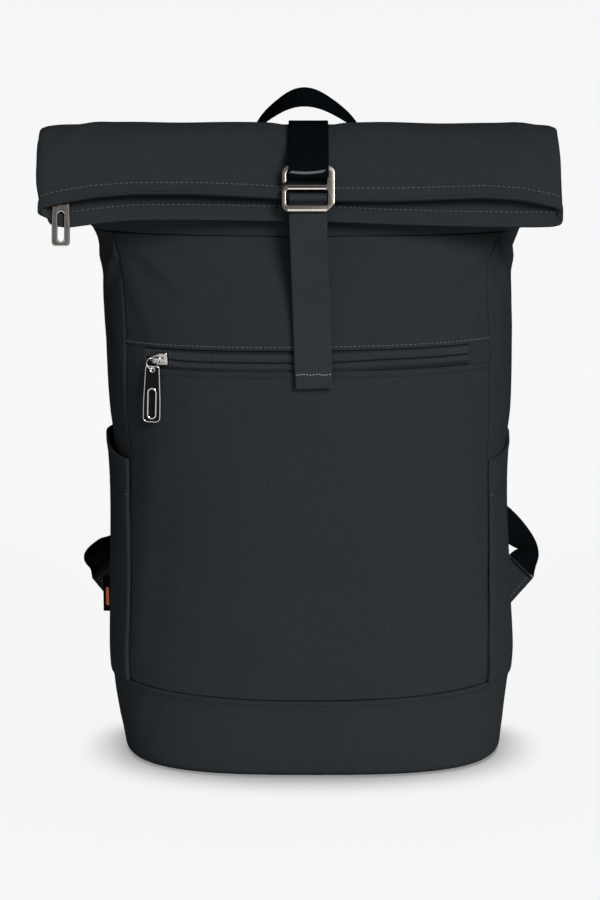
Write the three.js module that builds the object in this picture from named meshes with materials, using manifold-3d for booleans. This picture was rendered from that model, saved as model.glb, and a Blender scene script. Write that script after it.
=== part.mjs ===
// A roll-top daypack standing on its base: a soft tube of cloth panels with a boot-like base, a zipped front
// pocket and two open side pockets. The neck of the tube is flattened, folded forward over the front and held
// down by a webbing strap with a metal hook. Padded shoulder straps and a haul loop hang from the back seam.
// Millimetres, +Z up, the front faces -Y. The origin is the middle of the base, on the floor.
import * as THREE from "three";
import { mergeVertices } from "three/addons/utils/BufferGeometryUtils.js";
import Module from "manifold-3d";

const wasm = await Module();
wasm.setup();

// Overall sizes of the standing bag
const bagHalfWidth = 141;
const frontDepth = 72;
const backDepth = 60;
const widestPlane = 16;
const neckSeamHeight = 369;
const frontFullness = 2.3;
const backFullness = 4.5;

// Cloth, padding and the gap left between two sewn pieces
const cloth = 2;
const backPadding = 7;
const seamGap = 0.3;

// The base boot
const baseSeamHeight = 53.5;
const baseEdgeRadius = 12;
const baseFloor = 2.5;

// The folded roll top
const rollRise = 74;
const rollHalfWidth = 174;
const rollShift = -7;
const rollFullness = 7;
const mouthZipPlace = 0.8;
const mouthZipReach = 0.93;
const mouthZipThickness = 2;
const mouthZipSteps = 12;

// Where the side seams run, as shares of the half width
const frontSeamShare = 0.877;
const backSeamShare = 0.837;

// The front pocket's zip
const zipTopHeight = 294.3;
const zipWindow = 13.6;
const zipRisePerMm = 0.0105;
const zipWindowLeft = -110.7;
const zipWindowRight = 108;
const zipRecess = 1.1;
const zipThickness = 1.6;

// The side pockets
const pocketWall = 1.4;
const pocketRimFront = 214;
const pocketRimBack = 238;
const pocketStandOff = 5.9;

// Webbing
const webbingWidth = 25;
const webbing = 1.4;
const blackStrap = 2.8;
const strapSkew = 0.036;
const tailDrop = 24.3;
const tailHemLength = 8;
const anchorRise = 8.7;
const anchorLead = 12;

// The metal hook
const hookWidth = 34;
const hookThickness = 3;
const hookBar = 3.6;
const hookRightSide = 5;
const hookLeftSide = 3.2;
const hookSlot = 9.6;
const hookThroat = 9.6;
const hookTilt = 0.3;
const hookRise = 1.84;
const hookStandOff = 4.6;
const slotBarRadius = 1.1;

// Zip pulls
const pullLength = 39;
const pullTopWidth = 8;
const pullLowWidth = 12;
const pullThickness = 1.6;
const pullSlotWidth = 4;
const pullSlotLength = 20;
const ringRadius = 3.8;
const ringWire = 0.45;
const sliderLength = 13;
const sliderWidth = 8.5;
const sliderHeight = 2.6;
const bridgeDepth = 1.2;
const sliderPlace = -100;
const mouthPullInset = 17.5;

// Haul loop
const haulSpread = 38;
const haulRise = 14;
const haulLean = 36;

// Shoulder straps
const shoulderStart = 52;
const shoulderWidthTop = 58;
const shoulderWidthLow = 44;
const shoulderPadding = 9;
const shoulderEndHeight = 186;
const shoulderEndPlace = 106;
const shoulderStandOff = 26;
const lockLength = 20;
const lockWidth = 32;
const lockThickness = 4;

// Lower webbing, its cloth wing and the side label
const bulgeReach = 25;
const bulgeHeight = 121;
const wingHeight = 96;
const wingRootHeight = 52;
const wingThickness = 2;
const wingLift = 2.8;
const wingInset = 12;
const wingLean = 0.4;
const webbingLead = 12;
const labelLength = 26;
const labelWidth = 14;
const labelThickness = 1;
const labelPlace = 3.5;

// How the section changes up the body: shares of neckSeamHeight, bagHalfWidth, frontDepth, backDepth
const bodyRows = [
  { height: 0, width: 0.96, front: 0.95, back: 0.97, lean: 0.012 },
  { height: 0.07, width: 0.982, front: 0.98, back: 0.985, lean: 0.012 },
  { height: 0.145, width: 1.004, front: 1, back: 1, lean: 0.014 },
  { height: 0.195, width: 1.01, front: 1.008, back: 1, lean: 0.015 },
  { height: 0.31, width: 0.993, front: 1.018, back: 1, lean: 0.011 },
  { height: 0.47, width: 0.967, front: 1.022, back: 1, lean: 0.008 },
  { height: 0.585, width: 0.966, front: 1.016, back: 1, lean: 0.009 },
  { height: 0.667, width: 0.992, front: 1.008, back: 1, lean: 0.009 },
  { height: 0.783, width: 0.997, front: 0.985, back: 1, lean: 0.003 },
  { height: 0.862, width: 1.004, front: 0.93, back: 1, lean: -0.008 },
  { height: 0.938, width: 1.01, front: 0.84, back: 1, lean: -0.012 },
  { height: 1, width: 1.06, front: 0.73, back: 1, lean: -0.008 },
];

// The folded top: how far each layer has come forward from the back seam, as a share of the neck's depth, and how
// high it is, as a share of rollRise. The outer layer is the back cloth, the inner layer the front cloth.
const rollRows = [
  { outerForward: 0, outerUp: 0, innerForward: 1, innerUp: 0, width: 0 },
  { outerForward: 0.03, outerUp: 0.26, innerForward: 0.98, innerUp: 0.19, width: 0.3 },
  { outerForward: 0.1, outerUp: 0.5, innerForward: 0.935, innerUp: 0.365, width: 0.6 },
  { outerForward: 0.23, outerUp: 0.7, innerForward: 0.885, innerUp: 0.515, width: 0.82 },
  { outerForward: 0.4, outerUp: 0.865, innerForward: 0.835, innerUp: 0.62, width: 0.94 },
  { outerForward: 0.595, outerUp: 0.97, innerForward: 0.802, innerUp: 0.685, width: 0.985 },
  { outerForward: 0.77, outerUp: 1, innerForward: 0.812, innerUp: 0.72, width: 1 },
  { outerForward: 0.895, outerUp: 0.935, innerForward: 0.845, innerUp: 0.715, width: 1 },
  { outerForward: 0.98, outerUp: 0.8, innerForward: 0.885, innerUp: 0.645, width: 1 },
  { outerForward: 1.04, outerUp: 0.64, innerForward: 0.935, innerUp: 0.52, width: 1 },
  { outerForward: 1.085, outerUp: 0.48, innerForward: 0.995, innerUp: 0.37, width: 1 },
  { outerForward: 1.115, outerUp: 0.38, innerForward: 1.045, innerUp: 0.22, width: 1 },
  { outerForward: 1.125, outerUp: 0.34, innerForward: 1.07, innerUp: 0.1, width: 1 },
];

// The webbing's bulge beside the bag: outward from the bag's half width, behind the back seam and above
// bulgeHeight, all as shares of bulgeReach, and the direction across the webbing
const bulgeRows = [
  { outward: -0.04, behind: 0.68, above: 1.08, wx: 0.7, wy: 0.4, wz: 0.55 },
  { outward: 0.64, behind: 0.64, above: 0.52, wx: 0.5, wy: 0.8, wz: 0.35 },
  { outward: 0.9, behind: 0.44, above: 0.12, wx: 0.5, wy: 0.8, wz: -0.2 },
  { outward: 0.62, behind: 0.208, above: -0.22, wx: 0.7, wy: 0, wz: -0.7 },
];

// Mesh steps
const panelSteps = 10;
const heightSteps = 12;
const ringSteps = 44;
const rollSteps = 14;
const bandSteps = 20;

const clothColour = 0x2e3235;
const clothFinish = new THREE.MeshStandardMaterial({ color: clothColour, roughness: 0.85, metalness: 0 });
const webbingFinish = new THREE.MeshStandardMaterial({ color: 0x383b3d, roughness: 0.8, metalness: 0 });
const blackFinish = new THREE.MeshStandardMaterial({ color: 0x0d0f11, roughness: 0.6, metalness: 0 });
const metalFinish = new THREE.MeshStandardMaterial({ color: 0x77706b, roughness: 0.3, metalness: 1 });
const plasticFinish = new THREE.MeshStandardMaterial({ color: 0x101112, roughness: 0.5, metalness: 0 });
const labelFinish = new THREE.MeshStandardMaterial({ color: 0x140f0e, roughness: 0.7, metalness: 0 });

const bag = new THREE.Group();

function addPiece(name, geometry, material) {
  const piece = new THREE.Mesh(geometry, material);
  piece.name = name;
  bag.add(piece);
  return piece;
}

// Value of a column at a place along a table, through a smooth curve
function fromTable(rows, column, place, key) {
  const last = rows.length - 1;
  const where = (i) => (key ? rows[i][key] : i / last);
  let i = 0;
  while (i < last - 1 && place > where(i + 1)) i += 1;
  const slope = (k) => {
    const a = Math.max(0, k - 1);
    const b = Math.min(last, k + 1);
    return (rows[b][column] - rows[a][column]) / (where(b) - where(a));
  };
  const span = where(i + 1) - where(i);
  const t = (place - where(i)) / span;
  const p0 = rows[i][column];
  const p1 = rows[i + 1][column];
  const m0 = slope(i) * span;
  const m1 = slope(i + 1) * span;
  return (
    (2 * t ** 3 - 3 * t ** 2 + 1) * p0 +
    (t ** 3 - 2 * t ** 2 + t) * m0 +
    (-2 * t ** 3 + 3 * t ** 2) * p1 +
    (t ** 3 - t ** 2) * m1
  );
}

// A point of an oval made of two half superellipses, moved in by inset along its normal. The turn is the angle
// that the point would have if the oval were squeezed into a round. The high half has its own depth and fullness.
function ovalPoint(turn, oval, inset) {
  const c = Math.cos(turn);
  const s = Math.sin(turn);
  const depth = s < 0 ? oval.lowDepth : oval.highDepth;
  const n = s < 0 ? oval.lowFullness : oval.highFullness;
  const r = 1 / (Math.abs(c) ** n + Math.abs(s) ** n) ** (1 / n);
  const nx = (Math.sign(c) * Math.abs(r * c) ** (n - 1)) / oval.halfWidth;
  const ny = (Math.sign(s) * Math.abs(r * s) ** (n - 1)) / depth;
  const length = Math.hypot(nx, ny);
  return {
    x: r * c * oval.halfWidth - (nx / length) * inset,
    y: r * s * depth - (ny / length) * inset,
  };
}

function bodyOval(z) {
  const share = z / neckSeamHeight;
  const at = (column) => fromTable(bodyRows, column, share, "height");
  return {
    halfWidth: bagHalfWidth * at("width"),
    lowDepth: frontDepth * at("front") + widestPlane,
    highDepth: backDepth * at("back") - widestPlane,
    lowFullness: frontFullness,
    highFullness: backFullness,
    shift: bagHalfWidth * at("lean"),
  };
}

// A point of the body's cloth at a turn round it and a height
function bodyPoint(turn, z, inset) {
  const oval = bodyOval(z);
  const p = ovalPoint(turn, oval, inset);
  return new THREE.Vector3(oval.shift + p.x, widestPlane + p.y, z);
}

// Turn at which the body's outline has a share of its half width, in its front or back half
function turnAtShare(share, z, atBack) {
  const oval = bodyOval(z);
  const n = atBack ? oval.highFullness : oval.lowFullness;
  const depth = (1 - Math.abs(share) ** n) ** (1 / n);
  return Math.atan2(atBack ? depth : -depth, share);
}

const seamTurn = (share, z, side, atBack) => turnAtShare(side * share, z, atBack);

function frontTurn(x, z) {
  const oval = bodyOval(z);
  return turnAtShare((x - oval.shift) / oval.halfWidth, z, false);
}

// Turn that keeps a piece half a gap short of a seam, or a number of half gaps
function clearOf(turn, z, halfGaps) {
  const nearby = 0.001;
  const reach = bodyPoint(turn, z, 0).distanceTo(bodyPoint(turn + nearby, z, 0)) / nearby;
  return turn + (halfGaps * seamGap) / 2 / reach;
}

// A closed mesh from points and triangles, turned so that its faces point out
function closedMesh(points, faces) {
  let volume = 0;
  for (const [a, b, c] of faces) volume += points[a].dot(points[b].clone().cross(points[c]));
  const index = faces.flatMap(([a, b, c]) => (volume < 0 ? [a, c, b] : [a, b, c]));
  const geometry = new THREE.BufferGeometry();
  geometry.setAttribute("position", new THREE.Float32BufferAttribute(points.flatMap((p) => p.toArray()), 3));
  geometry.setIndex(index);
  return geometry;
}

// A sheet with two faces over the unit square: outer(u, v) and inner(u, v)
function sheetSolid(stepsU, stepsV, outer, inner) {
  const points = [];
  const faces = [];
  for (const side of [outer, inner])
    for (let j = 0; j <= stepsV; j += 1)
      for (let i = 0; i <= stepsU; i += 1) points.push(side(i / stepsU, j / stepsV));
  const row = stepsU + 1;
  const half = row * (stepsV + 1);
  const quad = (a, b, c, d) => faces.push([a, b, c], [a, c, d]);
  for (let j = 0; j < stepsV; j += 1)
    for (let i = 0; i < stepsU; i += 1) {
      const a = j * row + i;
      quad(a, a + 1, a + row + 1, a + row);
      quad(half + a + row, half + a + row + 1, half + a + 1, half + a);
    }
  for (let i = 0; i < stepsU; i += 1) {
    quad(half + i, half + i + 1, i + 1, i);
    const top = stepsV * row + i;
    quad(top, top + 1, half + top + 1, half + top);
  }
  for (let j = 0; j < stepsV; j += 1) {
    const a = j * row;
    quad(a, a + row, half + a + row, half + a);
    const b = a + stepsU;
    quad(half + b, half + b + row, b + row, b);
  }
  return closedMesh(points, faces);
}

// Rings of equal count joined in order. Open ends get a fan; a closed chain joins the last ring to the first.
function ringSolid(rings, chained) {
  const count = rings[0].length;
  const points = rings.flat();
  const faces = [];
  const joins = chained ? rings.length : rings.length - 1;
  for (let j = 0; j < joins; j += 1)
    for (let i = 0; i < count; i += 1) {
      const a = j * count + i;
      const b = j * count + ((i + 1) % count);
      const c = ((j + 1) % rings.length) * count + ((i + 1) % count);
      const d = ((j + 1) % rings.length) * count + i;
      faces.push([a, b, c], [a, c, d]);
    }
  if (!chained)
    for (const end of [0, rings.length - 1]) {
      const centre = new THREE.Vector3();
      for (const p of rings[end]) centre.addScaledVector(p, 1 / count);
      points.push(centre);
      for (let i = 0; i < count; i += 1) {
        const a = end * count + i;
        const b = end * count + ((i + 1) % count);
        faces.push(end ? [a, b, points.length - 1] : [b, a, points.length - 1]);
      }
    }
  return closedMesh(points, faces);
}

// A flat band along stations of centre, width direction and face direction. A pad has rounded edges.
const flatSection = [
  [-0.5, -0.5],
  [-0.5, 0.5],
  [0.5, 0.5],
  [0.5, -0.5],
];
const padSection = [
  [-0.5, -0.2],
  [-0.5, 0.2],
  [-0.42, 0.5],
  [0.42, 0.5],
  [0.5, 0.2],
  [0.5, -0.2],
  [0.42, -0.5],
  [-0.42, -0.5],
];

function bandSolid(stations, thickness, section = flatSection) {
  const rings = stations.map(({ centre, across, out, width }) =>
    section.map(([a, b]) =>
      centre
        .clone()
        .addScaledVector(across, a * width)
        .addScaledVector(out, b * thickness),
    ),
  );
  return ringSolid(rings, false);
}

// Solids for joining and cutting
function toSolid(geometry) {
  const bare = geometry.clone();
  bare.deleteAttribute("normal");
  bare.deleteAttribute("uv");
  const merged = mergeVertices(bare, 1e-4);
  return new wasm.Manifold(
    new wasm.Mesh({
      numProp: 3,
      vertProperties: merged.attributes.position.array,
      triVerts: new Uint32Array(merged.index.array),
    }),
  );
}

function fromSolid(solid) {
  const mesh = solid.getMesh();
  const geometry = new THREE.BufferGeometry();
  geometry.setAttribute("position", new THREE.Float32BufferAttribute(mesh.vertProperties, 3));
  geometry.setIndex(new THREE.Uint32BufferAttribute(mesh.triVerts, 1));
  return geometry;
}

const joined = (first, second) => fromSolid(toSolid(first).add(toSolid(second)));
const cut = (body, cutter) => fromSolid(toSolid(body).subtract(toSolid(cutter)));

// A panel of the body between two turns and two heights, each a function, with the cloth's thickness inwards.
// Neighbours share the heights of their rows, so that their edges bend at the same places.
function bodyPanel(turnFrom, turnTo, zFrom, zTo, thickness, recess, steps) {
  const rowStep = (neckSeamHeight - baseSeamHeight) / heightSteps;
  const low = zFrom(0);
  const high = zTo(0);
  const shares = [0];
  for (let k = 1; k < heightSteps; k += 1) {
    const share = (baseSeamHeight + k * rowStep - low) / (high - low);
    if (share > 0.01 && share < 0.99) shares.push(share);
  }
  shares.push(1);
  const rows = shares.length - 1;
  const place = (inset) => (u, v) => {
    const share = shares[Math.round(v * rows)];
    // A few passes settle the height of an edge whose height depends on its x
    let z = THREE.MathUtils.lerp(low, high, share);
    let turn = 0;
    for (let pass = 0; pass < 3; pass += 1) {
      turn = THREE.MathUtils.lerp(turnFrom(z), turnTo(z), u);
      const x = bodyPoint(turn, z, 0).x;
      z = THREE.MathUtils.lerp(zFrom(x), zTo(x), share);
    }
    return bodyPoint(turn, z, inset);
  };
  return sheetSolid(steps, rows, place(recess), place(recess + thickness));
}

const halfGap = seamGap / 2;
const leftFrontSeam = (z) => clearOf(seamTurn(frontSeamShare, z, -1, false), z, 1);
const rightFrontSeam = (z) => clearOf(seamTurn(frontSeamShare, z, 1, false), z, -1);
const zipTop = (x) => zipTopHeight + zipRisePerMm * x;
const zipLow = (x) => zipTop(x) - zipWindow;
const zipMiddle = (x) => zipTop(x) - zipWindow / 2;
const flat = (height) => () => height;

function addFrontPanels() {
  const lower = bodyPanel(
    leftFrontSeam,
    rightFrontSeam,
    flat(baseSeamHeight + halfGap),
    (x) => zipLow(x) - halfGap,
    cloth,
    0,
    2 * panelSteps,
  );
  addPiece("front_lower_panel", lower, clothFinish);
  const upper = bodyPanel(
    leftFrontSeam,
    rightFrontSeam,
    (x) => zipTop(x) + halfGap,
    flat(neckSeamHeight - halfGap),
    cloth,
    0,
    2 * panelSteps,
  );
  addPiece("front_upper_panel", upper, clothFinish);
}

// The zip lies a little behind the front panels. Plain cloth tabs close the window at both ends.
function addFrontZip() {
  const windowLeft = (z) => frontTurn(zipWindowLeft, z);
  const windowRight = (z) => frontTurn(zipWindowRight, z);
  const upEdge = (x) => zipTop(x) - halfGap;
  const lowEdge = (x) => zipLow(x) + halfGap;
  const strip = (from, to, zFrom, zTo, recess, thickness, steps) =>
    bodyPanel(from, to, zFrom, zTo, thickness, recess, steps);
  const middleUp = (x) => zipMiddle(x) + halfGap;
  const middleLow = (x) => zipMiddle(x) - halfGap;
  const steps = 2 * panelSteps;
  const upper = strip(windowLeft, windowRight, middleUp, upEdge, zipRecess, zipThickness, steps);
  const lower = strip(windowLeft, windowRight, lowEdge, middleLow, zipRecess, zipThickness, steps);
  addPiece("front_zip_upper", upper, webbingFinish);
  addPiece("front_zip_lower", lower, webbingFinish);
  const leftEnd = (z) => clearOf(windowLeft(z), z, -2);
  const rightEnd = (z) => clearOf(windowRight(z), z, 2);
  addPiece("zip_tab_left", strip(leftFrontSeam, leftEnd, lowEdge, upEdge, 0, cloth, 3), clothFinish);
  addPiece("zip_tab_right", strip(rightEnd, rightFrontSeam, lowEdge, upEdge, 0, cloth, 3), clothFinish);
}

// Side panels run from the front seam round to the back seam
function sideTurns(side) {
  const front = (z) => clearOf(seamTurn(frontSeamShare, z, side, false), z, side);
  const back = (z) => clearOf(seamTurn(backSeamShare, z, side, true), z, -side);
  // The left side crosses the half turn, so its turns are counted on past it
  const counted = (turn) => (side < 0 && turn < 0 ? turn + 2 * Math.PI : turn);
  return { front: (z) => counted(front(z)), back: (z) => counted(back(z)) };
}

function addSides() {
  for (const side of [-1, 1]) {
    const name = side < 0 ? "left" : "right";
    const { front, back } = sideTurns(side);
    const panel = bodyPanel(
      front,
      back,
      flat(baseSeamHeight + halfGap),
      flat(neckSeamHeight - halfGap),
      cloth,
      0,
      panelSteps,
    );
    addPiece(`side_panel_${name}`, panel, clothFinish);
    addPiece(`side_pocket_${name}`, sidePocket(side, front, back), clothFinish);
  }
}

// A pocket is a wall that leaves the side panel most at its open rim and meets it at its seams
function sidePocket(side, front, back) {
  const standOff = (u, v) => 2 * seamGap + pocketStandOff * Math.sin(Math.PI * u) ** 0.7 * v ** 1.5;
  const place = (extra) => (u, v) => {
    const rim = THREE.MathUtils.lerp(pocketRimFront, pocketRimBack, u);
    const z = THREE.MathUtils.lerp(baseSeamHeight + seamGap, rim, v);
    const turn = THREE.MathUtils.lerp(clearOf(front(z), z, side), clearOf(back(z), z, -side), u);
    return bodyPoint(turn, z, -(standOff(u, v) + extra));
  };
  return sheetSolid(panelSteps, 8, place(pocketWall), place(0));
}

function addBack() {
  const right = (z) => clearOf(seamTurn(backSeamShare, z, 1, true), z, 1);
  const left = (z) => clearOf(seamTurn(backSeamShare, z, -1, true), z, -1);
  const panel = bodyPanel(
    right,
    left,
    flat(baseSeamHeight + halfGap),
    flat(neckSeamHeight - halfGap),
    backPadding,
    0,
    panelSteps,
  );
  addPiece("back_panel", panel, clothFinish);
}

// The base is a tray: a flat floor, a rounded edge and a wall up to the seam
function addBase() {
  const rings = [];
  const ring = (z, inset, lift = 0) => {
    const points = [];
    for (let i = 0; i < ringSteps; i += 1) {
      const p = bodyPoint((2 * Math.PI * i) / ringSteps, z, inset);
      p.z += lift;
      points.push(p);
    }
    rings.push(points);
  };
  const edgeSteps = 4;
  for (let k = 0; k <= edgeSteps; k += 1) {
    const turn = ((Math.PI / 2) * k) / edgeSteps;
    ring(baseEdgeRadius * (1 - Math.cos(turn)), baseEdgeRadius * (1 - Math.sin(turn)));
  }
  const top = baseSeamHeight - halfGap;
  ring((baseEdgeRadius + top) / 2, 0);
  ring(top, 0);
  ring(top, cloth);
  ring((baseEdgeRadius + top) / 2, cloth);
  for (let k = edgeSteps; k >= 0; k -= 2) {
    const turn = ((Math.PI / 2) * k) / edgeSteps;
    const rise = baseEdgeRadius - (baseEdgeRadius - baseFloor) * Math.cos(turn);
    ring(rise, baseEdgeRadius - (baseEdgeRadius - cloth) * Math.sin(turn));
  }
  addPiece("base", ringSolid(rings, false), clothFinish);
}

// One section of the roll: a plane through its outer and inner layers
const neck = bodyOval(neckSeamHeight);
const neckDepth = neck.lowDepth + neck.highDepth;
const neckBack = widestPlane + neck.highDepth;

function rollSection(s) {
  const at = (column) => fromTable(rollRows, column, s);
  const outer = new THREE.Vector2(neckBack - neckDepth * at("outerForward"), neckSeamHeight + rollRise * at("outerUp"));
  const inner = new THREE.Vector2(neckBack - neckDepth * at("innerForward"), neckSeamHeight + rollRise * at("innerUp"));
  const span = outer.clone().sub(inner);
  const settle = THREE.MathUtils.smoothstep(s, 0, 0.45);
  const split = THREE.MathUtils.lerp(neck.lowDepth / neckDepth, 0.5, settle);
  const middle = inner.clone().addScaledVector(span, split);
  const widen = at("width");
  return {
    outer,
    inner,
    middle,
    direction: span.clone().normalize(),
    oval: {
      halfWidth: THREE.MathUtils.lerp(neck.halfWidth, rollHalfWidth, widen),
      lowDepth: span.length() * split,
      highDepth: span.length() * (1 - split),
      lowFullness: THREE.MathUtils.lerp(frontFullness, rollFullness, settle),
      highFullness: THREE.MathUtils.lerp(backFullness, rollFullness, settle),
      shift: THREE.MathUtils.lerp(neck.shift, rollShift, widen),
    },
  };
}

function rollSurface(s, turn) {
  const section = rollSection(s);
  const p = ovalPoint(turn, section.oval, 0);
  const yz = section.middle.clone().addScaledVector(section.direction, p.y);
  return new THREE.Vector3(section.oval.shift + p.x, yz.x, yz.y);
}

// A point of the roll, moved in through the cloth. At the neck seam it moves level, as in the body.
function rollPoint(s, turn, inset) {
  const nearby = 0.002;
  const along = rollSurface(s + nearby, turn).sub(rollSurface(s - nearby, turn));
  const round = rollSurface(s, turn + nearby).sub(rollSurface(s, turn - nearby));
  const inwards = new THREE.Vector3().crossVectors(along, round);
  inwards.z *= THREE.MathUtils.smoothstep(s, 0, 0.1);
  return rollSurface(s, turn).addScaledVector(inwards.normalize(), inset);
}

function rollRing(s, inset) {
  const points = [];
  for (let i = 0; i < ringSteps; i += 1) points.push(rollPoint(s, (2 * Math.PI * i) / ringSteps, inset));
  return points;
}

function addRoll() {
  const rings = [];
  for (let k = 0; k <= rollSteps; k += 1) rings.push(rollRing(k / rollSteps, 0));
  for (let k = rollSteps; k >= 0; k -= 1) rings.push(rollRing(k / rollSteps, cloth));
  for (const p of rings[0]) p.z += halfGap;
  for (const p of rings[rings.length - 1]) p.z += halfGap;
  addPiece("roll_top", ringSolid(rings, true), clothFinish);

  // The closed zip across the mouth is a strip between the two layers, a little way in
  const { middle, direction, oval } = rollSection(mouthZipPlace);
  const across = new THREE.Vector3(0, direction.x, direction.y);
  const stations = [];
  for (let k = 0; k <= mouthZipSteps; k += 1) {
    const share = mouthZipReach * ((2 * k) / mouthZipSteps - 1);
    const depth = (1 - Math.abs(share) ** rollFullness) ** (1 / rollFullness);
    const width = 2 * (oval.lowDepth * depth - cloth - 4 * seamGap);
    const centre = new THREE.Vector3(oval.shift + share * oval.halfWidth, middle.x, middle.y);
    const out = new THREE.Vector3(0, across.z, -across.y);
    stations.push({ centre, across, out, width });
  }
  addPiece("mouth_zip", bandSolid(stations, mouthZipThickness), webbingFinish);
}

// Outline of a strap seen from the side: its centre line in (y, z), thickened, then pushed out along X
function sideOutline(line, thickness) {
  const left = [];
  const right = [];
  line.forEach((p, i) => {
    const before = line[Math.max(0, i - 1)];
    const after = line[Math.min(line.length - 1, i + 1)];
    const run = after.clone().sub(before).normalize();
    const out = new THREE.Vector2(-run.y, run.x);
    const half = (typeof thickness === "function" ? thickness(i) : thickness) / 2;
    left.push(p.clone().addScaledVector(out, half));
    right.push(p.clone().addScaledVector(out, -half));
  });
  return [...left, ...right.reverse()];
}

function strapAcross(outline, middle, skewFrom = null, width = webbingWidth) {
  const shape = new THREE.Shape(outline);
  const geometry = new THREE.ExtrudeGeometry(shape, { depth: width, bevelEnabled: false, steps: 1 });
  // Shape x, y are the bag's y, z, and the depth runs along X
  const positions = geometry.getAttribute("position");
  for (let i = 0; i < positions.count; i += 1) {
    const y = positions.getX(i);
    const z = positions.getY(i);
    const x = positions.getZ(i) - width / 2 + middle;
    const skew = skewFrom === null ? 0 : Math.max(0, skewFrom - z) * strapSkew;
    positions.setXYZ(i, x + skew, y, z);
  }
  return geometry;
}

// Where the hook lies: its slot's middle, its upward and outward directions in (y, z)
const lip = rollSection(1).outer;
const hookMiddle = new THREE.Vector2(lip.x - hookStandOff, lip.y + hookRise);
const hookUp = new THREE.Vector2(Math.sin(hookTilt), Math.cos(hookTilt));
const hookOut = new THREE.Vector2(-Math.cos(hookTilt), Math.sin(hookTilt));
const onHook = (up, out) => hookMiddle.clone().addScaledVector(hookUp, up).addScaledVector(hookOut, out);
const topBarUp = hookSlot / 2 + hookBar + hookThroat + hookBar / 2;
const strapMiddle = (hookLeftSide - hookRightSide) / 2;

function addHook() {
  const w = hookWidth / 2;
  const low = -(hookSlot / 2 + hookBar);
  const mid = hookSlot / 2 + hookBar;
  const top = mid + hookThroat + hookBar;
  const corner = 5;
  const shape = new THREE.Shape();
  shape.moveTo(-w + corner, low);
  shape.lineTo(w - corner, low);
  shape.lineTo(w, low + corner);
  shape.lineTo(w, top - corner);
  shape.quadraticCurveTo(w, top, w - corner, top);
  shape.lineTo(-w + corner, top);
  shape.quadraticCurveTo(-w, top, -w, top - corner);
  shape.lineTo(-w, mid + 3.2);
  shape.quadraticCurveTo(-w + hookLeftSide / 2, mid + 1.6, -w + hookLeftSide, mid + 3.2);
  shape.lineTo(-w + hookLeftSide, top - hookBar);
  shape.lineTo(w - hookRightSide, top - hookBar);
  shape.lineTo(w - hookRightSide, mid);
  shape.lineTo(-w + corner, mid);
  shape.quadraticCurveTo(-w, mid, -w, mid - corner);
  shape.lineTo(-w, low + corner);
  shape.quadraticCurveTo(-w, low, -w + corner, low);
  const slot = new THREE.Path();
  slot.moveTo(-w + hookLeftSide, -hookSlot / 2);
  slot.lineTo(-w + hookLeftSide, hookSlot / 2);
  slot.lineTo(w - hookRightSide, hookSlot / 2);
  slot.lineTo(w - hookRightSide, -hookSlot / 2);
  shape.holes.push(slot);
  const plate = new THREE.ExtrudeGeometry(shape, {
    depth: hookThickness,
    bevelEnabled: false,
    curveSegments: 4,
  });
  plate.translate(0, 0, -hookThickness / 2);
  const bar = new THREE.CylinderGeometry(slotBarRadius, slotBarRadius, hookWidth - hookLeftSide, 10);
  bar.rotateZ(Math.PI / 2);
  const geometry = joined(plate, bar);
  // Local up goes to hookUp and the local normal to hookOut
  const turn = new THREE.Matrix4().makeBasis(
    new THREE.Vector3(1, 0, 0),
    new THREE.Vector3(0, hookUp.x, hookUp.y),
    new THREE.Vector3(0, hookOut.x, hookOut.y),
  );
  geometry.applyMatrix4(turn);
  const hook = addPiece("hook", geometry, metalFinish);
  hook.position.set(0, hookMiddle.x, hookMiddle.y);
}

// The grey strap: from its seam above the zip up behind the hook, over the slot's bar and down as a free tail
function addFrontStrap() {
  const behind = -hookThickness / 2 - seamGap - webbing / 2;
  const wrap = slotBarRadius + seamGap + webbing / 2;
  const lowBarTop = -hookSlot / 2;
  const panelY = (z) => bodyPoint(-Math.PI / 2, z, 0).y;
  const layerGap = webbing + seamGap;
  const onPanel = seamGap + webbing / 2;
  const seamEnd = zipTopHeight + 2;
  const anchorHeight = zipTopHeight + anchorRise;
  const tailEndHeight = zipTopHeight - tailDrop;
  const rise = anchorHeight + anchorLead;
  const line = [
    new THREE.Vector2(panelY(seamEnd) - onPanel, seamEnd),
    new THREE.Vector2(panelY(anchorHeight) - onPanel, anchorHeight),
    new THREE.Vector2(panelY(rise) - onPanel - 1.5, rise),
    onHook(lowBarTop - hookBar - 6, behind - layerGap),
    onHook(lowBarTop + 1.4, behind - layerGap),
    onHook(-1.2, -wrap - 1.2),
  ];
  const turns = 7;
  for (let k = 0; k <= turns; k += 1) {
    const turn = (1.5 * Math.PI * k) / turns;
    line.push(onHook(Math.sin(turn) * wrap, -Math.cos(turn) * wrap));
  }
  line.push(
    onHook(lowBarTop + 1.8, behind + 0.7),
    onHook(lowBarTop + 0.2, behind),
    onHook(lowBarTop - hookBar - 5, behind),
  );
  const clearPanel = layerGap + onPanel + 1.2;
  const hemTop = tailEndHeight + tailHemLength;
  line.push(
    new THREE.Vector2(panelY(rise) - clearPanel - 1, rise),
    new THREE.Vector2(panelY(hemTop + tailHemLength) - clearPanel, hemTop + tailHemLength),
    new THREE.Vector2(panelY(hemTop) - clearPanel, hemTop),
    new THREE.Vector2(panelY(hemTop) - clearPanel, hemTop - 0.5),
    new THREE.Vector2(panelY(tailEndHeight) - clearPanel, tailEndHeight),
  );
  // The hem at the tail's end is the webbing folded on itself
  const hemFrom = line.length - 2;
  const outline = sideOutline(line, (i) => (i >= hemFrom ? 2 * webbing : webbing));
  addPiece("front_strap", strapAcross(outline, strapMiddle, hookMiddle.y - hookSlot), webbingFinish);
}

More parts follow.
